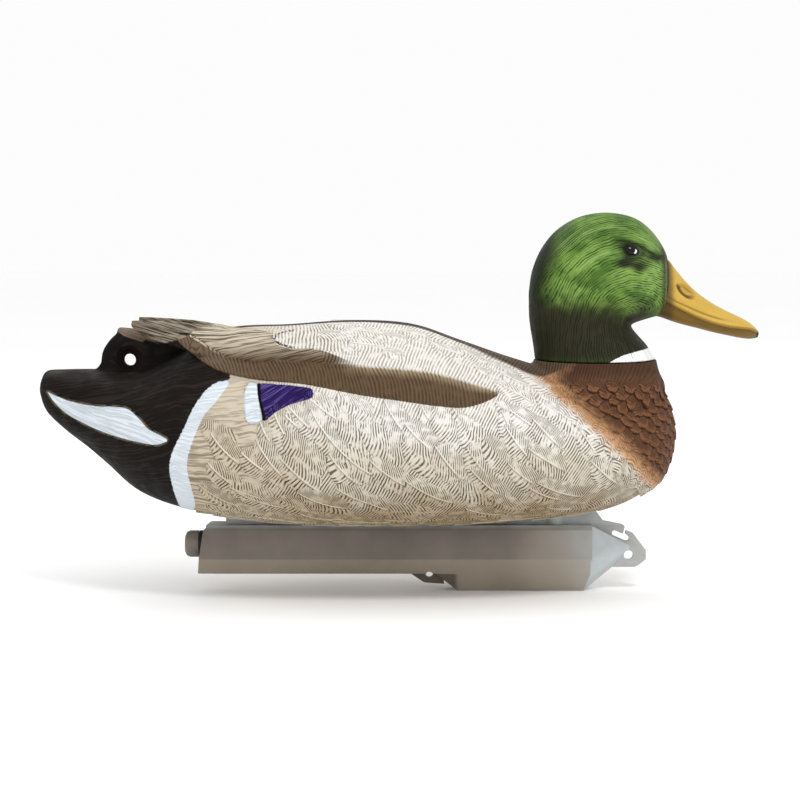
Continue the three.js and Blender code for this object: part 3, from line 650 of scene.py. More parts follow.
class Plumage:
    """Feathers gathered into one mesh, each a thin closed blade that rises out of the skin to its tip.

    lift is how high a tip stands, crown the rise of a feather's middle over its edges, and quill that of its
    quill. widest is the share of its length where it is broadest.
    """

    def __init__(self, surface, lift, crown, quill, widest):
        self.surface = surface
        self.lift, self.crown, self.quill, self.widest = lift, crown, quill, widest
        self.points, self.faces, self.local, self.rims = [], [], [], []

    def rise(self, share, column):
        """How far over the skin a point of a feather is."""
        if column in (-1, 1) or share in (0, 1):
            return TUCK
        rise = -0.5 + (self.lift + 0.5) * min(share / 0.9, 1) ** 0.8
        rise += self.crown * (1 - column**2) * min(share * 2.5, 1)
        return rise + (self.quill if column == 0 else 0)

    def add(self, root, normal, direction, length, half_width, hand=1, bend=0.0):
        """A feather from its root point, growing in a direction along the skin.

        bend is how far its tip curves up, as a share of its length. hand is 1 on the left side.
        """
        along = direction - normal * (direction @ normal)
        along = along / np.linalg.norm(along)
        across = np.cross(normal, along) * hand
        self.faces += blade_faces(len(self.points))
        seed = RANDOM.random() * 100
        sweep = (bend + RANDOM.normal(0, 0.09)) * length
        for share in BLADE_ROWS:
            width = half_width * blade_spread(share, self.widest)
            for column in BLADE_COLUMNS:
                s, t = share * length, column * width
                foot, up = self.surface.nearest(root + along * s + across * (t + sweep * share**2) + normal)
                self.points.append(foot + up * self.rise(share, column))
                self.local.append((s, t, seed))
                side_gap = (1 - abs(column)) * half_width + max(0.6 - share, 0) * 25
                self.rims.append(min((1 - share) * length, side_gap))

    def build(self, name, material):
        """The feathers so far, as one object."""
        points = np.array(self.points)
        obj = add_mesh(name, points, self.faces)
        outward(obj.data)
        add_zones(obj.data, points)
        add_attribute(obj.data, "feather", self.local)
        add_attribute(obj.data, "rim", self.rims)
        dress_mesh(obj, material)
        return obj


BODY_AXIS_Z = 105.0


def body_roots(surface, x, spacing, offset):
    """Roots evenly spaced round the body at one x, from the back's middle to the belly's, on one side."""
    centre = np.array([x, 0.0, BODY_AXIS_Z])
    hits = [
        surface.hit(centre, (0.0, math.sin(angle), math.cos(angle)))
        for angle in np.radians(np.arange(1.5, 180, 1.5))
    ]
    places = [found for found in hits if found is not None]
    if len(places) < 4:
        return []
    run = walked(np.array([foot for foot, _ in places]))
    stops = np.arange(offset, run[-1], spacing)
    return [places[min(np.searchsorted(run, stop), len(places) - 1)] for stop in stops]


def fitting_share(root, direction, length, half_width, outlines):
    """How much of its size a feather can keep without reaching into any of the outlines, or 0."""
    along = direction / np.linalg.norm(direction)
    across = np.array([-along[2], 0.0, along[0]])
    for share in (1.0, 0.8, 0.62, 0.48):
        reach = [
            root + share * (along * length * s + across * half_width * t)
            for s, t in ((0.5, -1), (0.5, 1), (0.8, -0.9), (0.8, 0.9), (1.0, 0))
        ]
        seen = seen_from_side(np.array(reach))
        if max(inside_distance(seen, outline).max() for outline in outlines) < 0:
            return share
    return 0.0


FEATHER_ROW_GAP = 17.0
FEATHER_GAP = 19.0
SHOULDER_HEIGHT = 130  # feathers above this lie flat and straight
UPPER_FEATHER = (28, 9.5, 0.1)  # length, half width and bend
LOWER_FEATHER = (38, 11, 0.26)
BARE = (WING_BAND, TERTIALS, RUMP, FLANK_STRIPE, SPECULUM_PURPLE, SPECULUM_WHITE)


def keeps_feather(root, seen, row_x):
    """Whether a root is on the cream parts, clear of the neck, the back's middle and the bare zones."""
    if inside_distance(seen, BREAST)[0] > 12 or root[2] > SEAM_Z - 8 and row_x > 84:
        return False
    inside = max(inside_distance(seen, outline)[0] for outline in BARE)
    return inside <= -2 and not (root[2] > 140 and abs(root[1]) < 26)


def feather_body(surface):
    """The cream feathers of the flank, shoulder, back and belly."""
    plumage = Plumage(surface, lift=0.75, crown=0.45, quill=0.25, widest=0.55)
    for row, x in enumerate(np.arange(-92, 170, FEATHER_ROW_GAP)):
        for root, normal in body_roots(surface, x, FEATHER_GAP, 5 + FEATHER_GAP / 2 * (row % 2)):
            root = root + RANDOM.normal(0, 3.4, 3) * np.array([1, 0.4, 1])
            seen = seen_from_side(root[None])
            if not keeps_feather(root, seen, x):
                continue
            upper = seen[0, 1] > SHOULDER_HEIGHT
            slope = 0.05 if upper else 0.62 * ramp(seen[0, 1], 42, 70)
            direction = np.array([-1.0, 0.0, slope + RANDOM.normal(0, 0.16)])
            length, half_width, bend = UPPER_FEATHER if upper else LOWER_FEATHER
            length *= 1 if upper else RANDOM.uniform(0.8, 1.25)
            share = fitting_share(root, direction, length, half_width, BARE)
            if share == 0:
                continue
            length, half_width = length * share, half_width * share
            for hand in (1, -1):
                side = np.array([1, hand, 1])
                plumage.add(root * side, normal * side, direction * side, length, half_width, hand, bend)
    return plumage


SCALLOP_LINES = 54
SCALLOP_GAP = 8.0
SCALLOP_LENGTH = 17
SCALLOP_HALF_WIDTH = 7.6
BREAST_CENTRE = np.array([118.0, 0.0, 100.0])


def feather_breast(surface):
    """The chestnut scallops of the breast, in lines from the neck down."""
    plumage = Plumage(surface, lift=1.15, crown=0.5, quill=0.1, widest=0.45)
    for step in range(SCALLOP_LINES):
        turn = (step + 0.5) * 2 * math.pi / SCALLOP_LINES
        level = np.array([math.cos(turn), math.sin(turn), 0])
        hits = [
            surface.hit(BREAST_CENTRE, level * math.cos(tilt) + np.array([0, 0, math.sin(tilt)]))
            for tilt in np.radians(np.arange(62, -50, -1.5))
        ]
        line = [found for found in hits if found is not None and found[0][2] < SEAM_Z - 7]
        feet = np.array([foot for foot, _ in line])
        run = walked(feet)
        for stop in np.arange(1 + SCALLOP_GAP / 2 * (step % 2), run[-1], SCALLOP_GAP):
            i = min(np.searchsorted(run, stop), len(line) - 2)
            root, normal = line[i]
            if inside_distance(seen_from_side(root[None]), BREAST)[0] < 3:
                continue
            down = feet[i + 1] - feet[i]
            direction = down / np.linalg.norm(down) + np.array([-0.4, 0, 0])
            size = RANDOM.uniform(0.9, 1.1) * (0.72 + 0.28 * ramp(stop, 0, 30))
            plumage.add(root, normal, direction, SCALLOP_LENGTH * size, SCALLOP_HALF_WIDTH * size)
    return plumage


# ---- Thin layers over the skin ----

PATCH_RIM = np.array([0, 0.008, 0.022, 0.045])  # shares across, close together at the edges
PATCH_DEPTH = 1.6
PATCH_TUCK = -0.9
PATCH_FOOT = -0.3  # where its rounded edge starts
EDGE_ACROSS = 0.05  # the shares across and along that its rounded edges take
EDGE_ALONG = 0.012


def slab_faces(rows, columns):
    """The faces of a thin slab: its top's points stored row by row, then its underside's."""
    size = rows * columns
    faces = []
    for i in range(rows - 1):
        for a in range(i * columns, (i + 1) * columns - 1):
            quad = (a, a + 1, a + columns + 1, a + columns)
            faces += [quad, tuple(size + k for k in reversed(quad))]
    ring = list(range(columns))
    ring += [i * columns + columns - 1 for i in range(1, rows)]
    ring += [(rows - 1) * columns + j for j in range(columns - 2, -1, -1)]
    ring += [i * columns for i in range(rows - 2, 0, -1)]
    faces += [(a, b, b + size, a + size) for a, b in zip(ring, ring[1:] + ring[:1])]
    return faces


def laid_patch(surface, name, lower, upper, rise, material, flow, steps=(150, 34)):
    """A thin layer over the skin on both sides, between two lines drawn in side view.

    rise gives its height over the skin from shares along and across; flow gives the stroke coordinates.
    """
    along = np.linspace(0, 1, steps[0])
    across = np.concatenate([PATCH_RIM, np.linspace(0.08, 0.92, steps[1]), 1 - PATCH_RIM[::-1]])
    rows, columns = len(along), len(across)
    u, v = np.repeat(along, columns), np.tile(across, rows)
    low, high = (np.repeat(curve_rows(line, along), columns, 0) for line in (lower, upper))
    feet, normals = surface.seen(low * (1 - v[:, None]) + high * v[:, None])
    edge = np.minimum(np.minimum(v, 1 - v) / EDGE_ACROSS, np.minimum(u, 1 - u) / EDGE_ALONG)
    rounded = np.sqrt(1 - (1 - np.clip(edge, 0, 1)) ** 2)
    height = np.where(edge <= 0, PATCH_TUCK, PATCH_FOOT + (rise(u, v) - PATCH_FOOT) * rounded)
    one_side = np.concatenate([feet + normals * height[:, None], feet - normals * PATCH_DEPTH])
    both = np.concatenate([one_side, one_side * np.array([1, -1, 1])])
    faces = slab_faces(rows, columns)
    faces += [tuple(k + len(one_side) for k in face) for face in faces]
    obj = add_mesh(name, both, faces)
    outward(obj.data)
    add_zones(obj.data, both)
    grid = feet.reshape(rows, columns, 3)
    climb = np.cumsum(np.linalg.norm(np.diff(grid, axis=1), axis=2), axis=1)
    climb = np.column_stack([np.zeros(rows), climb]) + low[::columns, 1:]
    unrolled = np.stack([feet[:, 0], climb.ravel()], axis=1)
    add_attribute(obj.data, "feather", np.tile(flow(unrolled), (4, 1)))
    dress_mesh(obj, material)
    return obj


def slanted(turn, middle=0.0):
    """Stroke coordinates for lines that rise towards the front by an angle in degrees.

    middle is the height, in millimetres, that the lines across them curve about.
    """
    c, s = math.cos(math.radians(turn)), math.sin(math.radians(turn))
    return lambda places: np.stack([places @ np.array([-s, c]) - middle, places @ np.array([c, s])], axis=1)


# ---- Materials ----

def srgb(code):
    """A linear colour from a hex code."""
    parts = [int(code[i:i + 2], 16) / 255 for i in (1, 3, 5)]
    return tuple(p / 12.92 if p <= 0.04045 else ((p + 0.055) / 1.055) ** 2.4 for p in parts) + (1.0,)


class Wire:
    """A node's output. Arithmetic on it adds math nodes to its shader."""

    def __init__(self, shader, socket):
        self.shader = shader
        self.socket = socket

    def __add__(self, other):
        return self.shader.math("ADD", self, other)

    def __sub__(self, other):
        return self.shader.math("SUBTRACT", self, other)

    def __rsub__(self, other):
        return self.shader.math("SUBTRACT", other, self)

    def __mul__(self, other):
        return self.shader.math("MULTIPLY", self, other)

    def __abs__(self):
        return self.shader.math("ABSOLUTE", self)


class Shader:
    """A material's nodes, with short calls for the ones used here. Lengths are in millimetres."""

    def __init__(self, name):
        self.material = bpy.data.materials.new(name)
        self.material.use_nodes = True
        self.tree = self.material.node_tree
        self.surface = self.tree.nodes["Principled BSDF"]
        coordinates = self.wire("ShaderNodeTexCoord", {}, "Object")
        scaled = {0: coordinates, "Scale": 1 / MM}
        self.point = self.wire("ShaderNodeVectorMath", scaled, operation="SCALE")

    def feed(self, socket, value):
        """Gives a socket a wire, a number or a colour's hex code."""
        if isinstance(value, Wire):
            self.tree.links.new(value.socket, socket)
        else:
            socket.default_value = srgb(value) if isinstance(value, str) else value

    def node(self, kind, inputs, **settings):
        """A new node with its settings made and its inputs fed, by name or number."""
        made = self.tree.nodes.new(kind)
        for key, value in settings.items():
            setattr(made, key, value)
        for key, value in inputs.items():
            self.feed(made.inputs[key], value)
        return made

    def wire(self, kind, inputs, output=0, **settings):
        """One of a new node's outputs."""
        return Wire(self, self.node(kind, inputs, **settings).outputs[output])

    def math(self, operation, a, b=0.0):
        return self.wire("ShaderNodeMath", {0: a, 1: b}, operation=operation)

    def sine(self, value):
        return self.math("SINE", value)

    def ramp(self, value, low, high, to_low=0.0, to_high=1.0):
        """to_low at low and to_high at high, smooth between. low may be above high."""
        ends = {"Value": value, "From Min": low, "From Max": high, "To Min": to_low, "To Max": to_high}
        return self.wire("ShaderNodeMapRange", ends, interpolation_type="SMOOTHSTEP")

    def mix(self, share, a, b):
        """One colour shading into another."""
        return self.wire("ShaderNodeMix", {0: share, 6: a, 7: b}, 2, data_type="RGBA")

    def split(self, vector):
        """A vector's three parts."""
        return [Wire(self, part) for part in self.node("ShaderNodeSeparateXYZ", {0: vector}).outputs]

    def vector(self, name):
        """The three parts of an attribute of the mesh."""
        return self.split(self.wire("ShaderNodeAttribute", {}, "Vector", attribute_name=name))

    def combine(self, x, y, z=0.0):
        return self.wire("ShaderNodeCombineXYZ", {0: x, 1: y, 2: z})

    def noise(self, size, detail=2.0, roughness=0.5, at=None):
        """Noise from 0 to 1 whose blobs are about so many millimetres across."""
        inputs = {"Vector": at or self.point, "Scale": 1 / size, "Detail": detail, "Roughness": roughness}
        return self.wire("ShaderNodeTexNoise", inputs, "Fac")

    def uneven(self, size, low, high, detail=3.0):
        """A share that wanders between low and high in soft blobs."""
        return self.ramp(self.noise(size, detail), 0.3, 0.7, low, high)

    def within(self, distance, soft=0.3, ragged=0.35):
        """1 inside a zone, with a slightly brushed edge."""
        edge = self.noise(1.6, 2.0) - 0.5
        return self.ramp(distance + edge * (ragged * 2), -soft, soft)

    def grooves(self, phase, pitch, low=-0.1, high=0.75):
        """Evenly spaced grooves across a phase."""
        return self.ramp(self.sine(phase * (2 * math.pi / pitch)), low, high)

    def finish(self, colour, roughness, height=None, depth=0.2, specular=0.5):
        """Feeds the surface. height is from 0 to 1, and depth is its size in millimetres."""
        surface = {"Base Color": colour, "Roughness": roughness, "Specular IOR Level": specular}
        if height is not None:
            bump = {"Height": height, "Distance": depth * MM, "Strength": 1.0}
            surface["Normal"] = self.wire("ShaderNodeBump", bump)
        for name, value in surface.items():
            self.feed(self.surface.inputs[name], value)
        return self.material


BARB_PITCH = 2.15
ARC_PITCH = 2.3
FINE_LINE = 1.25  # the width of the skin's finest lines
STROKE_LINE = 1.7


def barbs(shader):
    """A feather's fine grooves and its quill: how deep a point is in a groove, and how near the quill."""
    s, t, seed = shader.vector("feather")
    away = abs(t)
    lean = t * (shader.sine(seed) * 0.3 - 0.5)
    slope = shader.sine(seed * 1.7) * 0.35 - 0.3
    curl = t * t * -0.02 + away * slope
    warp = shader.noise(26.0, 1.0) * 13.0 + shader.noise(5.0, 1.0) * 1.3
    patchy = shader.ramp(shader.noise(4.5, 2.0), 0.34, 0.58, 0.1, 1.0)
    groove = shader.grooves(s + lean + curl + warp, BARB_PITCH) * patchy
    shown = shader.ramp(shader.sine(seed * 2.3), -0.8, -0.2)
    quill = shader.ramp(away, 0.75, 0.3) * shader.ramp(s, 6.0, 16.0) * shown
    # A groove along one side of the quill; the paint darkens it as a painted shadow beside the quill.
    beside = shader.ramp(abs(t + 1.2), 0.7, 0.2) * shown
    groove = shader.math("MAXIMUM", groove, beside * 0.4)
    return groove * (1.0 - quill), quill


def flow_lines(shader, size=STROKE_LINE):
    """Long fine grooves that run along the strokes' direction, the finest about so wide, and no quill."""
    s, t, _ = shader.vector("feather")
    sway = s + shader.noise(14.0, 1.0) * 3.0
    strokes = shader.noise(size, 2.0, 0.6, shader.combine(t * 0.06, sway))
    coarse = shader.noise(2.8, 1.0, 0.5, shader.combine(t * 0.04, sway, 7.0))
    fine_lines = shader.ramp(strokes, 0.48, 0.6, 0.0, 0.85)
    return shader.math("MAXIMUM", fine_lines, shader.ramp(coarse, 0.62, 0.67)), 0.0


def arc_lines(shader):
    """Closely spaced curved grooves across the strokes' direction, broken here and there, and no quill."""
    s, t, _ = shader.vector("feather")
    phase = t + s * s * 0.003 + shader.noise(24.0, 1.0) * 6.0
    patchy = shader.ramp(shader.noise(6.0, 2.0), 0.3, 0.6, 0.3, 1.0)
    return shader.grooves(phase, ARC_PITCH) * patchy, 0.0


def skin_lines(shader):
    """Long lines over the rump and tail, and short upright grooves over the rest. No quill."""
    _, x, _ = shader.vector("feather")
    share = shader.ramp(x, -100.0, -84.0)
    long_lines = flow_lines(shader, FINE_LINE)[0] * (0.75 - share * 0.75)
    return arc_lines(shader)[0] * share + long_lines, 0.0


def rims(shader):
    """How near a feather's edge a point is: painted shadow just under it, and a painted highlight inside it.
    """
    rim, _, _ = shader.vector("rim")
    rim = rim + shader.noise(2.5, 2.0) * 2.2
    return shader.ramp(rim, 2.9, 1.7), shader.ramp(rim, 6.0, 3.5)


def no_rims(shader):
    """For paint on what isn't a feather."""
    return 0.0, 0.0


class HullPaint(Shader):
    """The hull's painted plastic, laid on zone by zone.

    lines gives the masks of the grooves and quills, and edges those of the painted shadow and highlight at
    feathers' rims.
    """

    def __init__(self, name, lines, edges=no_rims):
        super().__init__(name)
        self.breast, self.band, self.rump = self.vector("zone_a")
        self.stripe, self.tail, self.saddle = self.vector("zone_b")
        self.white_bar, self.black_bar, self.purple = self.vector("zone_c")
        self.tertial, self.scapular, self.primary = self.vector("zone_d")
        self.tail_tip, self.x, self.height = self.vector("zone_e")
        # Most zones darken their colour in the grooves: partly thin dark paint, partly painted shade.
        self.groove, self.quill = lines(self)
        self.dark_rim, self.rim_highlight = edges(self)
        self.mottle = self.noise(20.0, 3.0) - 0.5
        self.white = self.mix(self.groove * 0.35, "#d8e0e6", "#98a5af")

    def flank(self):
        """Cream, browner behind; lighter above and browner below in paint and painted shade; dark grooves,
        light quills.
        """
        level = self.height + self.mottle * 46.0
        rear = self.ramp(self.x + self.mottle * 40.0, -35.0, -112.0)
        # Lighter above and browner below, partly the paint's own tone and partly painted shade.
        cream = self.mix(self.ramp(level, 46.0, 80.0), "#a89678", "#d0c8b8")
        cream = self.mix(self.ramp(level, 78.0, 112.0), cream, "#e2dfd9")
        cream = self.mix(rear * 0.85, cream, "#c2b49c")
        # Painted shade in the grooves over a thin dark paint, darker lower down.
        groove_wash_and_shade = self.mix(self.ramp(level, 50.0, 105.0), "#3a2a16", "#6e604b")
        groove_wash_and_shade = self.mix(self.ramp(level, 100.0, 135.0), groove_wash_and_shade, "#aaa193")
        light = self.mix(self.ramp(level, 60.0, 110.0), "#d9ceb8", "#f1efea")
        return self.mix(self.quill * 0.75, self.mix(self.groove * 0.95, cream, groove_wash_and_shade), light)

    def paint_breast(self, colour):
        """Chestnut, darker near the neck, that fades through orange into the flank."""
        fade = self.breast + (self.noise(7.0, 3.0) - 0.5) * 10.0
        orange = self.mix(self.groove * 0.5, "#c1946b", "#7d5436")
        chestnut = self.mix(self.noise(9.0, 3.0), "#4b3325", "#684835")
        chestnut = self.mix(self.ramp(self.height, 138.0, 147.0, 0.0, 0.6), chestnut, "#3a291f")
        # Painted highlight inside each scallop's edge.
        chestnut = self.mix(self.rim_highlight * 0.45, chestnut, "#92623f")
        chestnut = self.mix(self.groove * 0.5, chestnut, "#3a2417")
        # Painted shadow under each scallop's edge.
        chestnut = self.mix(self.dark_rim * 0.85, chestnut, "#22130a")
        colour = self.mix(self.ramp(fade, -6.0, 2.0), colour, orange)
        return self.mix(self.ramp(fade, -1.0, 11.0), colour, chestnut)

    def paint_saddle(self, colour):
        """The dark strip along the back and over the shoulders."""
        brown = self.mix(self.ramp(self.x, -20.0, 70.0), "#2a241d", "#5e4c3c")
        brown = self.mix(self.groove * 0.6, brown, "#1c1712")
        return self.mix(self.ramp(self.saddle + self.mottle * 3.0, -1.0, 1.2), colour, brown)

    def paint_rump(self, colour):
        """Black over the rump and tail, with slightly lighter grooves."""
        black = self.mix(self.noise(24.0, 3.0), "#0d0a09", "#1b1613")
        black = self.mix(self.groove * 0.42, black, "#3d352f")
        return self.mix(self.within(self.rump, 0.5, 1.6), colour, black)

    def paint_band(self, colour):
        """The folded wing's brown band, lighter and softer along its front half's top edge."""
        above_middle = self.height - self.ramp(self.x, -75.0, 60.0, 146.0, 131.0)
        top_edge = self.ramp(self.band, 8.0, 1.0) * self.ramp(above_middle, -2.0, 2.0)
        top_edge = top_edge * self.ramp(self.x, -46.0, -16.0)
        brown = self.mix(self.ramp(self.x, -130.0, -80.0), "#6a5947", "#5e4c37")
        brown = self.mix(top_edge, brown, "#99866c")
        brown = self.mix(self.groove * 0.6, brown, "#30261a")
        fading = 1.0 - self.ramp(self.band, 2.6, 0.0) * top_edge
        return self.mix(self.within(self.band) * fading, colour, brown)

    def paint_tertials(self, colour):
        """Tan, lighter above, that fades out to the front."""
        tan = self.mix(self.ramp(self.height + self.mottle * 6.0, 151.0, 170.0), "#5c4a34", "#c9bda6")
        tan = self.mix(self.groove * 0.9, tan, "#362919")
        fade = self.ramp(self.x + self.mottle * 20.0, -22.0, -46.0)
        return self.mix(self.within(self.tertial) * fade, colour, tan)

    def paint_scapulars(self, colour):
        """Pale, fading out to the front, with broken dark marks round the rear tip."""
        pale = self.mix(self.groove * 0.8, "#dcd8cf", "#75695a")
        colour = self.mix(self.within(self.scapular) * self.ramp(self.x, -30.0, -50.0), colour, pale)
        marks = self.ramp(abs(self.scapular - 1.3), 1.0, 0.5) * self.ramp(self.x, -68.0, -74.0)
        marks = marks * self.ramp(self.noise(1.6, 1.0), 0.44, 0.56)
        return self.mix(marks * 0.9, colour, "#1c1510")

    def paint_wing_tips(self, colour):
        """Streaks that slope gently down to the rear, on the wing tips and the edge of the tail."""
        below_tip = self.height + self.x * 0.3
        hairs = self.noise(1.5, 2.0, 0.6, self.combine(self.x * 0.05, below_tip))
        streaky = self.mix(self.noise(7.0, 3.0), "#584d3f", "#a99c88")
        streaky = self.mix(self.ramp(hairs, 0.46, 0.58, 0.0, 0.9), streaky, "#120e0a")
        dusky = self.mix(self.ramp(hairs, 0.5, 0.62, 0.0, 0.8), "#77685a", "#2c241d")
        colour = self.mix(self.within(self.primary), colour, streaky)
        return self.mix(self.within(self.tail_tip), colour, dusky)

    def paint_whites(self, colour):
        """The flank's stripe, and the tail patch with a broken dark line round its edge."""
        rim = self.ramp(abs(self.tail + 0.5), 1.0, 0.4) * self.ramp(self.noise(5.0, 2.0), 0.36, 0.6)
        colour = self.mix(self.within(self.stripe, 0.3, 0.8), colour, self.white)
        colour = self.mix(self.within(self.tail, 0.3, 0.3), colour, self.white)
        return self.mix(rim * 0.75, colour, "#6d6452")

    def paint_speculum(self, colour):
        """The violet patch with its black and white bars."""
        violet = self.mix(self.noise(6.0, 3.0), "#180b38", "#2a185c")
        violet = self.mix(self.groove * 0.7, violet, "#695aa0")
        colour = self.mix(self.within(self.purple), colour, violet)
        colour = self.mix(self.within(self.black_bar), colour, "#120f0c")
        return self.mix(self.within(self.white_bar), colour, self.white)

    def build(self):
        """The finished material."""
        colour = self.flank()
        for paint in (
            self.paint_breast, self.paint_saddle, self.paint_rump, self.paint_band, self.paint_tertials,
            self.paint_scapulars, self.paint_wing_tips, self.paint_whites, self.paint_speculum,
        ):
            colour = paint(colour)
        relief = self.noise(0.7, 2.0) * 0.22 - self.groove + self.quill * 0.6
        return self.finish(colour, self.uneven(9.0, 0.55, 0.76), relief, 0.42, specular=0.08)


def flow_attribute(points):
    """Where a point lies across and along the skin's flow, in millimetres."""
    x = seen_from_side(points)[:, 0]
    axis = np.interp(x, [-240, -190, -140, 0, 200], [134, 118, 104, 98, 100])
    girth = np.arctan2(points[:, 1], points[:, 2] - axis) * np.interp(x, [-240, -150, 200], [26, 62, 80])
    return np.stack([girth, x], axis=1)


def finish_skin(skin, material):
    """Gives the hull's skin the attributes that its paint reads."""
    points = read_points(skin.data)
    add_zones(skin.data, points)
    add_attribute(skin.data, "feather", flow_attribute(points))
    dress_mesh(skin, material)


# ---- Head ----

# The skull. Each row: x, top z, bottom z, half width.
SKULL = [
    [85.8, 199, 193, 3], [88, 213, 182, 13], [94, 227.5, 174, 22], [104, 239.8, 169, 29],
    [118, 248.2, 169, 32.5], [134, 251.4, 171, 33.6], [148, 250.2, 175, 32.4], [158, 246.6, 179, 29.6],
    [166, 240.3, 181.5, 25.8], [172, 232.8, 183.4, 21], [176.5, 224.5, 187, 15], [178.6, 215, 195, 7],
]
# The neck. Each row: z, centre x, radius along x, radius along y.
NECK = [
    [HEAD_BASE, NECK_X, NECK_RADIUS, NECK_RADIUS], [158, 128.6, 39, 38.5], [164, 126.4, 37.6, 36.6],
    [170, 123.2, 35.4, 34.6], [176, 120.4, 33.6, 33], [184, 119.2, 33.2, 31.6], [196, 120.6, 34.2, 30],
    [206, 124, 31, 24],
]
BROW = [[140, 232.6], [151, 232.5], [160, 229], [167, 224.6], [172, 223]]
COLLAR = [
    [138, 149.8], [144, 153.6], [149.4, 156.1], [156, 158], [163, 159.8], [167, 161.6], [172, 165],
    [180, 165], [180, 140], [136, 140],
]
CROWN_CENTRE_Z = 212.0  # the strokes turn about this on the crown, and about NAPE_X on the neck
NAPE_X = 122.0
HEAD_GROOVE_PITCH = 1.7


def skull_rings(steps=60, count=64):
    """Rings across the skull, each an egg with its widest place a little above half height."""
    rows = curve_rows(SKULL, np.linspace(0, 1, steps))
    angle = np.linspace(0, 2 * np.pi, count, endpoint=False)
    rings = []
    for x, top, bottom, wide in rows:
        middle = bottom + (top - bottom) * 0.52
        z = middle + np.where(np.cos(angle) > 0, top - middle, middle - bottom) * np.cos(angle)
        rings.append(np.stack([np.full(count, x), wide * np.sin(angle), z], axis=1))
    return np.concatenate(rings), steps, count


def line_distance(places, line):
    """Distance of each place to an open line, positive above it."""
    line = np.asarray(line, float)
    nearest = np.full(len(places), 1e9)
    for start, end in zip(line[:-1], line[1:]):
        nearest = np.minimum(nearest, segment_distance(places, start, end))
    return np.sign(places[:, 1] - np.interp(places[:, 0], line[:, 0], line[:, 1])) * nearest


def peak(value, middle, width):
    """1 where a value is at the middle, falling smoothly to 0 a few widths away."""
    return np.exp(-(((value - middle) / width) ** 2))


def soft_spot(places, x, z, wide, tall, power=2):
    """A soft spot of 1 at its middle, seen from the side."""
    reach = ((places[:, 0] - x) / wide) ** 2 + ((places[:, 1] - z) / tall) ** 2
    return np.exp(-(reach ** (power / 2)))


def eye_distance(places):
    """How far out of the eye's middle a place is: 1 on the eye's own edge."""
    x, z = (places - np.array(EYE_PLACE)).T
    along = x * math.cos(EYE_SLANT) + z * math.sin(EYE_SLANT)
    across = z * math.cos(EYE_SLANT) - x * math.sin(EYE_SLANT)
    return np.hypot(along / EYE_HALF_LENGTH, across / EYE_HALF_HEIGHT)


def head_flow(points):
    """Stroke coordinates on the head: lines run back from the bill, and turn down into the neck."""
    x, y, z = points.T
    out = np.abs(y)
    over_crown = 85 - 33 * np.arctan2(out, z - CROWN_CENTRE_Z)
    round_neck = 36 * (np.arctan2(out, x - NAPE_X) - 0.8)
    upper = ramp(z, 176, 196)
    behind = upper * (152 - x) + (1 - upper) * round_neck
    above = np.maximum(over_crown, 0)
    return np.stack([np.hypot(behind, above), np.arctan2(above, behind) * 60, y], axis=1)


def shape_face(points, places, normals):
    """The head's points with its eye sockets, brows and cheeks."""
    lids = eye_distance(places)
    socket = 0.8 * peak(lids, 1.4, 0.24) - 1.6 * peak(lids, 0, 1.05)
    over_brow = line_distance(places, BROW)
    brow = peak(over_brow, 2.4, 1.8) - 0.8 * peak(over_brow, 0, 0.8)
    brow *= ramp(places[:, 0], 140, 148) * ramp(-places[:, 0], -173, -168)
    cheek = 1.6 * peak(points[:, 0], 140, 22) * peak(points[:, 2], 205, 14)
    side = ramp(np.abs(points[:, 1]), 8, 20)
    return points + normals * ((socket + cheek + brow) * side)[:, None]


def mark_face(mesh, shaped, places):
    """Stores the collar, the dark marks and painted brow shadow round the eye, the brow's line and the
    eyelid's painted highlight, for the paint.

    places are where the head was seen before its face was shaped, and shaped where it is seen now.
    """
    lids = eye_distance(places)
    over_brow = line_distance(places, BROW)
    x = shaped[:, 0]
    below_eye = soft_spot(shaped, 149.5, 217.3, 6.2, 3.6, 3) + soft_spot(shaped, 160, 214.8, 6, 3.6, 3)
    below_eye += 0.6 * soft_spot(shaped, 155, 220.5, 6, 3)
    lore = soft_spot(shaped, 171, 221.5, 7, 4.2)
    # Painted shadow under the brow.
    brow_shadow = 0.35 * peak(over_brow, -2.5, 2.6) * ramp(x, 138, 147)
    around = np.exp(-((lids / 1.7) ** 4))
    smudge_and_shade = np.clip(below_eye + 0.75 * lore + around + brow_shadow, 0, 1)
    brow_line = peak(over_brow, 0, 1.2) * ramp(x, 140, 150) * ramp(-x, -174, -168)
    collar = inside_distance(shaped, COLLAR)
    add_attribute(mesh, "marks", np.stack([collar, smudge_and_shade, brow_line], axis=1))
    # Painted highlight along the eyelid.
    add_attribute(mesh, "lid_highlight", peak(lids, 1.3, 0.17) * ramp(x, 152, 160))


def build_head():
    """The skull and neck, fused and smoothed above their flat base."""
    head = from_solids("head_skin", [skull_rings(), level_rings(NECK, 30)])
    remesh(head, HEAD_VOXEL)
    near_base = 1 - ramp(read_points(head.data)[:, 2], HEAD_BASE + 1, HEAD_BASE + 4)
    relax(head.data, 14, keep=near_base)
    points = read_points(head.data)
    points[:, 2] = np.maximum(points[:, 2], HEAD_BASE)
    places = seen_from_side(points)
    points = shape_face(points, places, read_normals(head.data))
    write_points(head.data, points)
    add_attribute(head.data, "flow", head_flow(points))
    mark_face(head.data, seen_from_side(points), places)
    dress_mesh(head, head_paint())
    return head


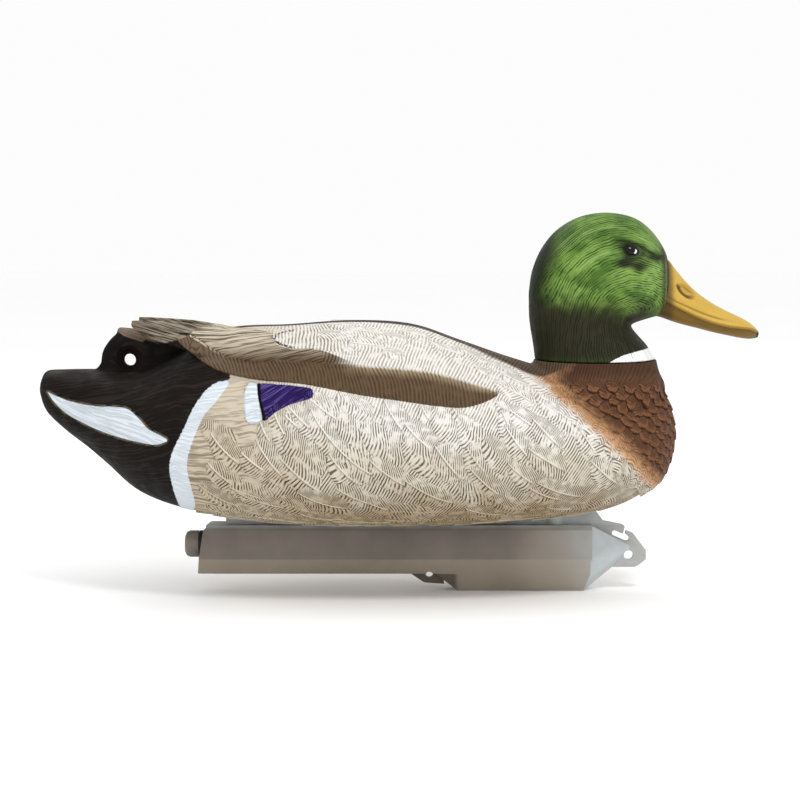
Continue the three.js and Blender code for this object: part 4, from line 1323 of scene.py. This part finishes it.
def head_paint():
    """Green over the head, near black down the neck, and a white collar, with painted shade and painted
    highlights.
    """
    shader = Shader("head_green")
    reach, turn, across = shader.vector("flow")
    collar, smudge_and_shade, brow = shader.vector("marks")
    lid_highlight, _, _ = shader.vector("lid_highlight")
    x, _, z = shader.split(shader.point)
    breaks = shader.noise(2.4, 2.0, 0.5, shader.combine(reach, turn * 0.1, across))
    groove = shader.grooves(reach + shader.noise(12.0, 2.0) * 5.0, HEAD_GROOVE_PITCH, -0.2, 0.8)
    groove = groove * shader.ramp(breaks, 0.36, 0.62, 0.15, 1.0)
    sheen = shader.noise(15.0, 3.0)

    green = shader.mix(shader.ramp(sheen, 0.35, 0.65), "#4a6c2c", "#7b9f4a")
    green = shader.mix(shader.ramp(z + x * 0.3, 266.0, 288.0, 0.0, 0.4), green, "#45672f")
    # Painted highlights: lighter streaks along the strokes.
    streak = shader.noise(5.0, 3.0, 0.5, shader.combine(reach, turn * 0.06, across))
    green = shader.mix(shader.ramp(streak, 0.5, 0.72, 0.0, 0.5), green, "#93b066")
    face = shader.ramp(x, 150.0, 166.0) * shader.ramp(z, 196.0, 206.0)
    green = shader.mix(face * 0.4, green, "#8aa761")

    level = z + (x - 88.0) * 0.1 + (sheen - 0.5) * 16.0
    neck = shader.ramp(level, 206.0, 184.0)
    green = shader.mix(neck, green, "#17140d")
    # Painted shade down the back of the head.
    back = x - (z - 210.0) * 0.25
    green = shader.mix(shader.ramp(back, 109.0, 91.0, 0.0, 0.95), green, "#10110a")
    green = shader.mix(shader.ramp(z, HEAD_BASE + 5.0, HEAD_BASE + 0.5, 0.0, 0.6), green, "#17451a")
    green = shader.mix((1.0 - groove) * neck * 0.5, green, "#3f3b2c")
    # Painted shade: darker in the grooves.
    green = shader.mix(groove * 0.78, green, "#1a280c")

    # Painted shadow on the head at the bill's base.
    green = shader.mix(shader.ramp(x, 169.0, 175.0, 0.0, 0.85), green, "#2b2c20")
    green = shader.mix(shader.ramp(abs(x - 175.2), 0.9, 0.3, 0.0, 0.5), green, "#858061")
    # Dark marks round the eye, with painted shadow under the brow.
    green = shader.mix(smudge_and_shade * 0.92, green, "#1b1c16")
    # Painted highlight along the eyelid.
    green = shader.mix(lid_highlight * 0.2, green, "#8a9a70")
    green = shader.mix(brow * 0.8, green, "#10140c")
    white = shader.mix(groove * 0.3, "#f0f2f2", "#b7bbb8")
    colour = shader.mix(shader.within(collar, 0.3, 0.5), green, white)
    relief = shader.noise(0.8) * 0.2 - groove
    return shader.finish(colour, shader.ramp(sheen, 0.3, 0.7, 0.46, 0.62), relief, 0.36, specular=0.07)


# ---- Bill ----

# Each row: x, top z, gape z, bottom z, half width.
BILL = [
    [160, 221, 199, 186, 11], [172, 221.4, 195.5, 183.6, 13], [178, 220, 192, 181.6, 14.2],
    [183, 214, 189.4, 179.9, 14.4], [189, 206.8, 186.6, 178.2, 14], [197, 199, 183, 176.2, 13.4],
    [207, 191.8, 179.4, 173.6, 13.6], [217, 186.4, 177, 171.4, 14.6], [226, 182.2, 176, 169.6, 15],
    [232, 178.8, 175.2, 168.9, 13.2], [236, 175.4, 173.6, 169.3, 9.4], [BILL_TIP, 172.6, 171.8, 170, 3.6],
]
NOSTRIL = (189.4, 199.9)
NOSTRIL_SLOPE = (0.8, -0.6)  # its length runs down towards the tip
NOSTRIL_HOLLOW = (8.0, 4.6)  # half length and half width
NOSTRIL_PAINT = (7.8, 3.8)
CREASE_RISE = 3.4  # the fold along the upper bill, above its edge
LOWER_INSET = 2.2
LOWER_DROP = 1.2
NAIL_START = BILL_TIP - 5.6


def nostril_place(x, z, size):
    """Where a place lies along and across the nostril: 1 at its ends and at its sides."""
    x, z = x - NOSTRIL[0], z - NOSTRIL[1]
    c, s = NOSTRIL_SLOPE
    return x * (c / size[0]) + z * (s / size[0]), x * (-s / size[1]) + z * (c / size[1])


def bill_hollows(points, above_gape):
    """How far the upper bill's sides sink in: the nostril with its raised rim, and the fold."""
    along, across = nostril_place(points[:, 0], points[:, 2], NOSTRIL_HOLLOW)
    reach = np.hypot(along, across)
    inward = 2.6 * (1 - ramp(reach, 0.3, 1.0)) - 0.5 * peak(reach, 1.15, 0.22)
    fold = ramp(-points[:, 0], -222, -205) * ramp(points[:, 0], 172, 180)
    inward += 0.8 * fold * peak(above_gape, CREASE_RISE, 0.9)
    return inward * ramp(np.abs(points[:, 1]), 3, 7)


def mandible(name, upper, steps=170, count=120):
    """One half of the bill: the upper overlaps the lower, which is set in at its edges."""
    rows = curve_rows(BILL, np.linspace(0, 1, steps))
    angle = np.linspace(0, 2 * np.pi, count, endpoint=False)
    above = np.cos(angle) > 0
    rings, above_gape = [], []
    for x, top, gape, bottom, wide in rows:
        if upper:
            tall, flat = np.where(above, top - gape, 1.8), 2 / np.where(above, 1.75, 2.6)
            middle, half = gape, wide
        else:
            tall, flat = np.where(above, 1.0, gape - bottom), 2 / np.where(above, 2.5, 2.2)
            middle, half = gape - LOWER_DROP, wide - LOWER_INSET
        z = middle + tall * power(np.cos(angle), flat)
        rings.append(np.stack([np.full(count, x), half * power(np.sin(angle), flat), z], axis=1))
        above_gape.append(z - gape)
    points = np.concatenate(rings)
    above_gape = np.concatenate(above_gape)
    if upper:
        points[:, 1] -= np.sign(points[:, 1]) * bill_hollows(points, above_gape)
    obj = add_mesh(name, points, loft_faces(steps, count))
    add_attribute(obj.data, "gape", above_gape)
    outward(obj.data)
    dress_mesh(obj, upper_bill_paint() if upper else lower_bill_paint())
    return obj


def bill_base(shader, light, dark):
    """Blotchy yellow, darkened by painted shade towards the gape and the face."""
    x, _, z = shader.split(shader.point)
    colour = shader.mix(shader.noise(12.0, 3.0), dark, light)
    rise = z + (x - 180.0) * 0.75
    # Painted shade: darker lower down, towards the gape.
    colour = shader.mix(shader.ramp(rise, 197.0, 188.0, 0.0, 0.6), colour, "#7d5d1f")
    # Painted shade next to the face.
    return shader.mix(shader.ramp(x, 183.0, 177.5, 0.0, 0.85), colour, "#4f3e1c")


def paint_nostril(shader, colour):
    """A shaded hollow with a dark lower rim and a slit."""
    x, _, z = shader.split(shader.point)
    along, across = nostril_place(x, z, NOSTRIL_PAINT)
    gap = along * along + across * across
    colour = shader.mix(shader.ramp(gap, 1.2, 0.6, 0.0, 0.3), colour, "#8a6a24")
    rim = shader.ramp(gap, 0.2, 0.5) * shader.ramp(gap, 1.3, 0.95)
    rim = rim * shader.ramp(across, 0.3, -0.3) * shader.ramp(along, 1.05, 0.35)
    colour = shader.mix(rim * 0.92, colour, "#4f3109")
    slit = along * along + abs(across - 0.25) * 3.0
    return shader.mix(shader.ramp(slit, 0.6, 0.25, 0.0, 0.6), colour, "#6b4b18")


def paint_bill_fold_shade(shader, colour):
    """Painted shade along the fold of the upper bill, and a painted shadow at its edge."""
    x, _, _ = shader.split(shader.point)
    above_gape, _, _ = shader.vector("gape")
    crease = shader.ramp(abs(above_gape - CREASE_RISE), 1.0, 0.3) * shader.ramp(x, 222.0, 208.0)
    lines = shader.math("MAXIMUM", crease, shader.ramp(above_gape, 0.9, 0.2))
    return shader.mix(lines * 0.55, colour, "#5f4514")


def finish_bill(shader, colour):
    """Specks, the black nail at the tip, and a satin skin."""
    x, y, _ = shader.split(shader.point)
    speck = shader.ramp(shader.noise(1.1, 3.0), 0.58, 0.7, 0.0, 0.25)
    colour = shader.mix(speck, colour, "#7a5a1e")
    nail = shader.ramp(x - abs(y) * 0.45, NAIL_START, NAIL_START + 1)
    colour = shader.mix(nail, colour, "#0d0a08")
    return shader.finish(colour, shader.uneven(12.0, 0.42, 0.56), shader.noise(0.9, 3.0), 0.06, specular=0.2)


def upper_bill_paint():
    """Yellow with a nostril and a fold."""
    shader = Shader("upper_bill_paint")
    colour = paint_nostril(shader, bill_base(shader, "#cfaa4b", "#b8953e"))
    return finish_bill(shader, paint_bill_fold_shade(shader, colour))


def lower_bill_paint():
    """Plain brown yellow."""
    shader = Shader("lower_bill_paint")
    return finish_bill(shader, bill_base(shader, "#836527", "#5e4718"))


# ---- Keel, eyes and hardware ----

def plastic(name, light, dark, rough, blob=14.0, depth=0.05, grain=0.6):
    """Moulded plastic: two close tones in soft blotches, a fine moulded grain and uneven gloss."""
    shader = Shader(name)
    colour = shader.mix(shader.uneven(blob, 0.0, 1.0, 4.0), dark, light)
    gloss = shader.uneven(blob * 0.5, rough - 0.06, rough + 0.08)
    return shader.finish(colour, gloss, shader.noise(grain, 3.0), depth)


def keel_paint():
    """Satin taupe plastic, lighter to the front, with painted shade and shadow and bluish grey painted
    highlights.
    """
    shader = Shader("keel_taupe")
    x, _, z = shader.split(shader.point)
    cloud = shader.uneven(34.0, 0.0, 1.0, 4.0)
    # Painted shade: the upper part, under the belly, is darker than the lower.
    low = shader.mix(cloud, "#897f71", "#968c7e")
    high = shader.mix(cloud, "#6d645b", "#7b7268")
    colour = shader.mix(shader.ramp(z, 21.0, 22.6), low, high)
    colour = shader.mix(shader.ramp(x, 70.0, 95.0, 0.0, 0.6), colour, "#a0978a")
    # Painted highlight: bluish grey on the forward-facing facet, over the upper front and along the top.
    ahead, _, _ = shader.split(shader.wire("ShaderNodeNewGeometry", {}, "True Normal"))
    facet = shader.ramp(ahead, 0.15, 0.3) * shader.ramp(x, 100.0, 110.0)
    soft_highlight = shader.ramp(x + z * 0.7, 110.0, 160.0, 0.0, 0.6)
    nose_highlight = shader.math("MAXIMUM", shader.math("MAXIMUM", facet, soft_highlight), shader.ramp(z, 40.0, 45.0))
    colour = shader.mix(nose_highlight * shader.uneven(14.0, 0.65, 0.95, 4.0), colour, "#bcc5c9")
    # Painted shadow low on the plate, behind the front.
    tab_shadow = shader.ramp(x, 40.0, 36.0) * shader.ramp(z, 11.6, 11.0) * shader.ramp(x, -10.0, 0.0)
    colour = shader.mix(tab_shadow * 0.75, colour, "#3a342e")
    return shader.finish(colour, shader.uneven(12.0, 0.4, 0.55), shader.noise(0.6, 3.0), 0.06)


def brushed_metal(name, light, dark):
    """Steel with fine lines that run across its axis."""
    shader = Shader(name)
    streak = shader.wire("ShaderNodeVectorMath", {0: shader.point, 1: (1.0, 1.0, 6.0)}, operation="MULTIPLY")
    lines = shader.noise(1.2, 3.0, 0.5, streak)
    shader.surface.inputs["Metallic"].default_value = 1.0
    gloss = shader.ramp(lines, 0.2, 0.8, 0.22, 0.38)
    return shader.finish(shader.mix(lines, dark, light), gloss, lines, 0.02)


def rounded_copy(node, name, width, material, segments=3):
    """A CAD node's shape with its flat faces merged and its edges rounded."""
    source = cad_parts[node]
    mesh = source.data.copy()
    mesh.transform(source.matrix_world)
    obj = bpy.data.objects.new(name, mesh)
    bpy.context.scene.collection.objects.link(obj)
    work = bmesh.new()
    work.from_mesh(mesh)
    bmesh.ops.remove_doubles(work, verts=work.verts, dist=0.02 * MM)
    bmesh.ops.dissolve_limit(work, angle_limit=math.radians(2), verts=work.verts, edges=work.edges)
    work.to_mesh(mesh)
    work.free()
    bevel = obj.modifiers.new("round", "BEVEL")
    bevel.width = width * MM
    bevel.segments = segments
    bevel.limit_method = "ANGLE"
    bevel.angle_limit = math.radians(28)
    apply_modifiers(obj)
    dress_mesh(obj, material)
    obj.data.set_sharp_from_angle(angle=math.radians(35))
    return obj


EYE_STEM = 4.0  # how far the eye reaches into the head
STEM_SHARE = 0.25


def eye_ring(share):
    """The size and height of one of the eye's rings: a straight stem up to the skin, then the dome."""
    if share < STEM_SHARE:
        return 1.0, EYE_STEM * (share / STEM_SHARE - 1)
    angle = (share - STEM_SHARE) / (1 - STEM_SHARE) * math.pi / 2
    return max(math.cos(angle), 0.005), EYE_BULGE * math.sin(angle)


def eye(name, hand, foot, normal, material):
    """A glossy almond dome on the skin. foot and normal are on the right side; hand is 1 on the left."""
    rings, count = 24, 48
    ahead = np.array([math.cos(EYE_SLANT), 0.0, math.sin(EYE_SLANT)])
    ahead -= normal * (ahead @ normal)
    ahead /= np.linalg.norm(ahead)
    up = np.cross(ahead, normal) * EYE_HALF_HEIGHT
    ahead *= EYE_HALF_LENGTH
    points, look = [], []
    for share in np.arange(rings) / (rings - 1):
        size, height = eye_ring(share)
        for turn in np.linspace(0, 2 * math.pi, count, endpoint=False):
            long, tall = size * math.cos(turn), size * power(math.sin(turn), 1.3)
            points.append(foot + ahead * long + up * tall + normal * height)
            look.append((long, tall))
    obj = add_mesh(name, np.array(points) * np.array([1, -hand, 1]), loft_faces(rings, count))
    add_attribute(obj.data, "look", look)
    outward(obj.data)
    dress_mesh(obj, material)
    return obj


def oval(x, z, centre, size):
    """The squared distance from an oval's middle: 1 on its edge."""
    along, across = (x - centre[0]) * (1 / size[0]), (z - centre[1]) * (1 / size[1])
    return along * along + across * across


def eye_gloss():
    """Black, with a painted highlight: a white crescent on its front half."""
    shader = Shader("eye_black")
    tone = shader.noise(2.0, 2.0)
    ahead, up, _ = shader.vector("look")
    # Painted highlight: a white crescent glint.
    glint_disc = shader.ramp(oval(ahead, up, (0.48, 0.08), (0.25, 0.48)), 1.2, 0.6)
    glint_bite = shader.ramp(oval(ahead, up, (0.2, 0.0), (0.26, 0.6)), 0.6, 1.2)
    colour = shader.mix(glint_disc * glint_bite, shader.mix(tone, "#020202", "#0b0705"), "#dfe2e4")
    return shader.finish(colour, shader.ramp(tone, 0.2, 0.8, 0.04, 0.08), specular=0.25)


def dress_keel():
    """The keel keeps its CAD shape with eased edges."""
    keel = rounded_copy("keel_shell", "keel_body", 0.7, keel_paint())
    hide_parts("keel_shell")
    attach(keel, "hull")


def dress_hardware():
    """Small parts that keep their CAD shape with eased edges: node, body, slot, edge, material."""
    nylon = plastic("natural_nylon", "#ece9df", "#dcd7c8", 0.45, 8.0, 0.03)
    rubber = plastic("black_rubber", "#1d1d1d", "#121212", 0.8, 5.0, 0.06, 0.4)
    steel = brushed_metal("stainless", "#c9cacb", "#9fa1a3")
    cap = plastic("cap_dark", "#7b7268", "#696158", 0.5, 9.0, 0.05)
    tube = plastic("tube_grey", "#44474a", "#34373a", 0.55, 18.0, 0.04)
    sand = plastic("dry_sand", "#c8ad7c", "#9a7f52", 0.9, 1.6, 0.5, 0.5)
    parts = [
        ("neck_bush", "hull", "nylon", 0.4, nylon),
        ("neck_spigot", "head", "nylon", 0.35, nylon),
        ("neck_seal_ring", "head", "black_rubber", 0.1, rubber),
        ("ballast_tube", "ballast", "tube_plastic", 0.25, tube),
        ("ballast_sand", "ballast", "sand", 0.3, sand),
        ("ballast_front_plug", "ballast", "black_rubber", 0.5, rubber),
        ("ballast_end_cap", "ballast", "cap_plastic", 0.5, cap),
        ("ballast_seal_ring", "ballast", "black_rubber", 0.2, rubber),
    ]
    for number in (1, 2, 3):
        parts.append((f"keel_screw_{number}", "hull", "screw_steel", 0.25, steel))
        parts.append((f"keel_washer_{number}", "hull", "black_rubber", 0.2, rubber))
    for node, body, slot, edge, material in parts:
        piece = rounded_copy(node, node + "_made", edge, material, 2)
        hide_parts(node)
        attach(piece, body)


def band_rise(u, v):
    """The folded wing's edge stands proud at the rear and sinks into the flank at the front."""
    return 1.5 * (1 - ramp(u, 0.3, 0.62)) - 0.75 * ramp(u, 0.5, 0.75)


def tertial_rise(u, v):
    """Thickest along the lower edge, and gone at the front."""
    return (2.4 - 2.1 * v) * (1 - ramp(u, 0.45, 0.95)) - 0.4 * ramp(u, 0.8, 1.0)


def scapular_rise(u, v):
    """Thickest at the rear tip, and gone at the front and along the back."""
    return 1.9 * (1 - ramp(u, 0.15, 0.9)) * (1 - 0.85 * ramp(v, 0.5, 1.0)) - 0.4 * ramp(u, 0.75, 1.0)


def level_rise(height):
    """The same height all over."""
    return lambda u, v: height


def dress_hull():
    """The hull's skin, its feathers and the thin layers, which are laid before the skin is carved."""
    skin = build_skin()
    surface = Surface(skin)
    feather_paint = HullPaint("feather_paint", barbs).build()
    scallop_paint = HullPaint("scallop_paint", barbs, rims).build()
    skin_paint = HullPaint("skin_paint", skin_lines).build()
    strokes = HullPaint("stroke_paint", flow_lines).build()
    arcs = HullPaint("arc_paint", arc_lines).build()
    pieces = [
        skin,
        feather_body(surface).build("body_feathers", feather_paint),
        feather_breast(surface).build("breast_feathers", scallop_paint),
    ]
    patches = [
        ("wing_band", BAND_LOWER, BAND_UPPER, band_rise, arcs, slanted(8, 138)),
        ("tertials", TERTIAL_LOWER, TERTIAL_UPPER, tertial_rise, strokes, slanted(27)),
        ("scapulars", SCAPULAR_LOWER, SCAPULAR_UPPER, scapular_rise, arcs, slanted(0, 168)),
        ("tail_patch", TAIL_LOWER, TAIL_UPPER, level_rise(0.9), strokes, slanted(-25)),
        ("speculum", SPECULUM_LOWER, SPECULUM_UPPER, level_rise(0.5), strokes, slanted(35), (60, 30)),
        ("speculum_bar", BAR_LOWER, BAR_UPPER, level_rise(1.2), strokes, slanted(4), (24, 40)),
    ]
    pieces += [laid_patch(surface, *patch) for patch in patches]
    carve_skin(skin)
    cut_hole(skin, *TAIL_CURL_HOLE, TAIL_HOLE_RADIUS)
    finish_skin(skin, skin_paint)
    for piece in pieces:
        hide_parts("hull_shell")
        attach(piece, "hull")


def dress_head():
    """The head's skin, the two halves of the bill and the eyes."""
    gloss = eye_gloss()
    head = build_head()
    feet, normals = Surface(head).seen([EYE_PLACE])
    for name, hand in (("left", 1), ("right", -1)):
        made = eye(f"eye_{name}_dome", hand, feet[0] + 0.2 * normals[0], normals[0], gloss)
        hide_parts(f"eye_{name}")
        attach(made, "head")
    for piece in (head, mandible("upper_bill", True), mandible("lower_bill", False)):
        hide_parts("head_shell")
        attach(piece, "head")


# ---- Floor, light and camera ----

def soft_light(name, place, size, power, target):
    """A round lamp, in metres and watts, that points at its target."""
    data = bpy.data.lights.new(name, "AREA")
    data.shape = "DISK"
    data.size = size
    data.energy = power
    obj = bpy.data.objects.new(name, data)
    bpy.context.scene.collection.objects.link(obj)
    obj.location = place
    obj.rotation_euler = (Vector(target) - Vector(place)).to_track_quat("-Z", "Y").to_euler()


def build_stage():
    """A pale floor just under the keel, white surroundings and two soft lamps."""
    low, high = CAD_BOX
    middle = (Vector(low) + Vector(high)) / 2
    bpy.ops.mesh.primitive_plane_add(size=12, location=(0, 0, low[2] - 0.0003))
    floor = bpy.context.object
    floor.name = "floor"
    shader = Shader("floor_pale")
    floor.data.materials.append(shader.finish(shader.mix(shader.noise(300.0), "#fdfdfd", "#ffffff"), 0.9))
    world = bpy.data.worlds.new("studio")
    world.use_nodes = True
    world.node_tree.nodes["Background"].inputs["Color"].default_value = (1, 1, 1, 1)
    world.node_tree.nodes["Background"].inputs["Strength"].default_value = 0.98
    bpy.context.scene.world = world
    soft_light("key", (0.5, -1.0, 1.5), 0.4, 10, middle)
    soft_light("rear", (-0.5, 1.2, 1.3), 0.9, 5, middle)
    bpy.context.scene.view_settings.view_transform = "Standard"


def build_camera():
    """A long lens square to the duck's right side, a little above it."""
    data = bpy.data.cameras.new("camera")
    data.lens = LENS
    data.sensor_width = SENSOR
    camera = bpy.data.objects.new("camera", data)
    bpy.context.scene.collection.objects.link(camera)
    back = Vector((0, -math.cos(VIEW_TILT), math.sin(VIEW_TILT)))
    camera.location = Vector(AIM * MM) + back * VIEW_DISTANCE * MM
    camera.rotation_euler = (-back).to_track_quat("-Z", "Y").to_euler()
    bpy.context.scene.camera = camera


build_stage()
build_camera()
dress_hull()
dress_head()
dress_keel()
dress_hardware()
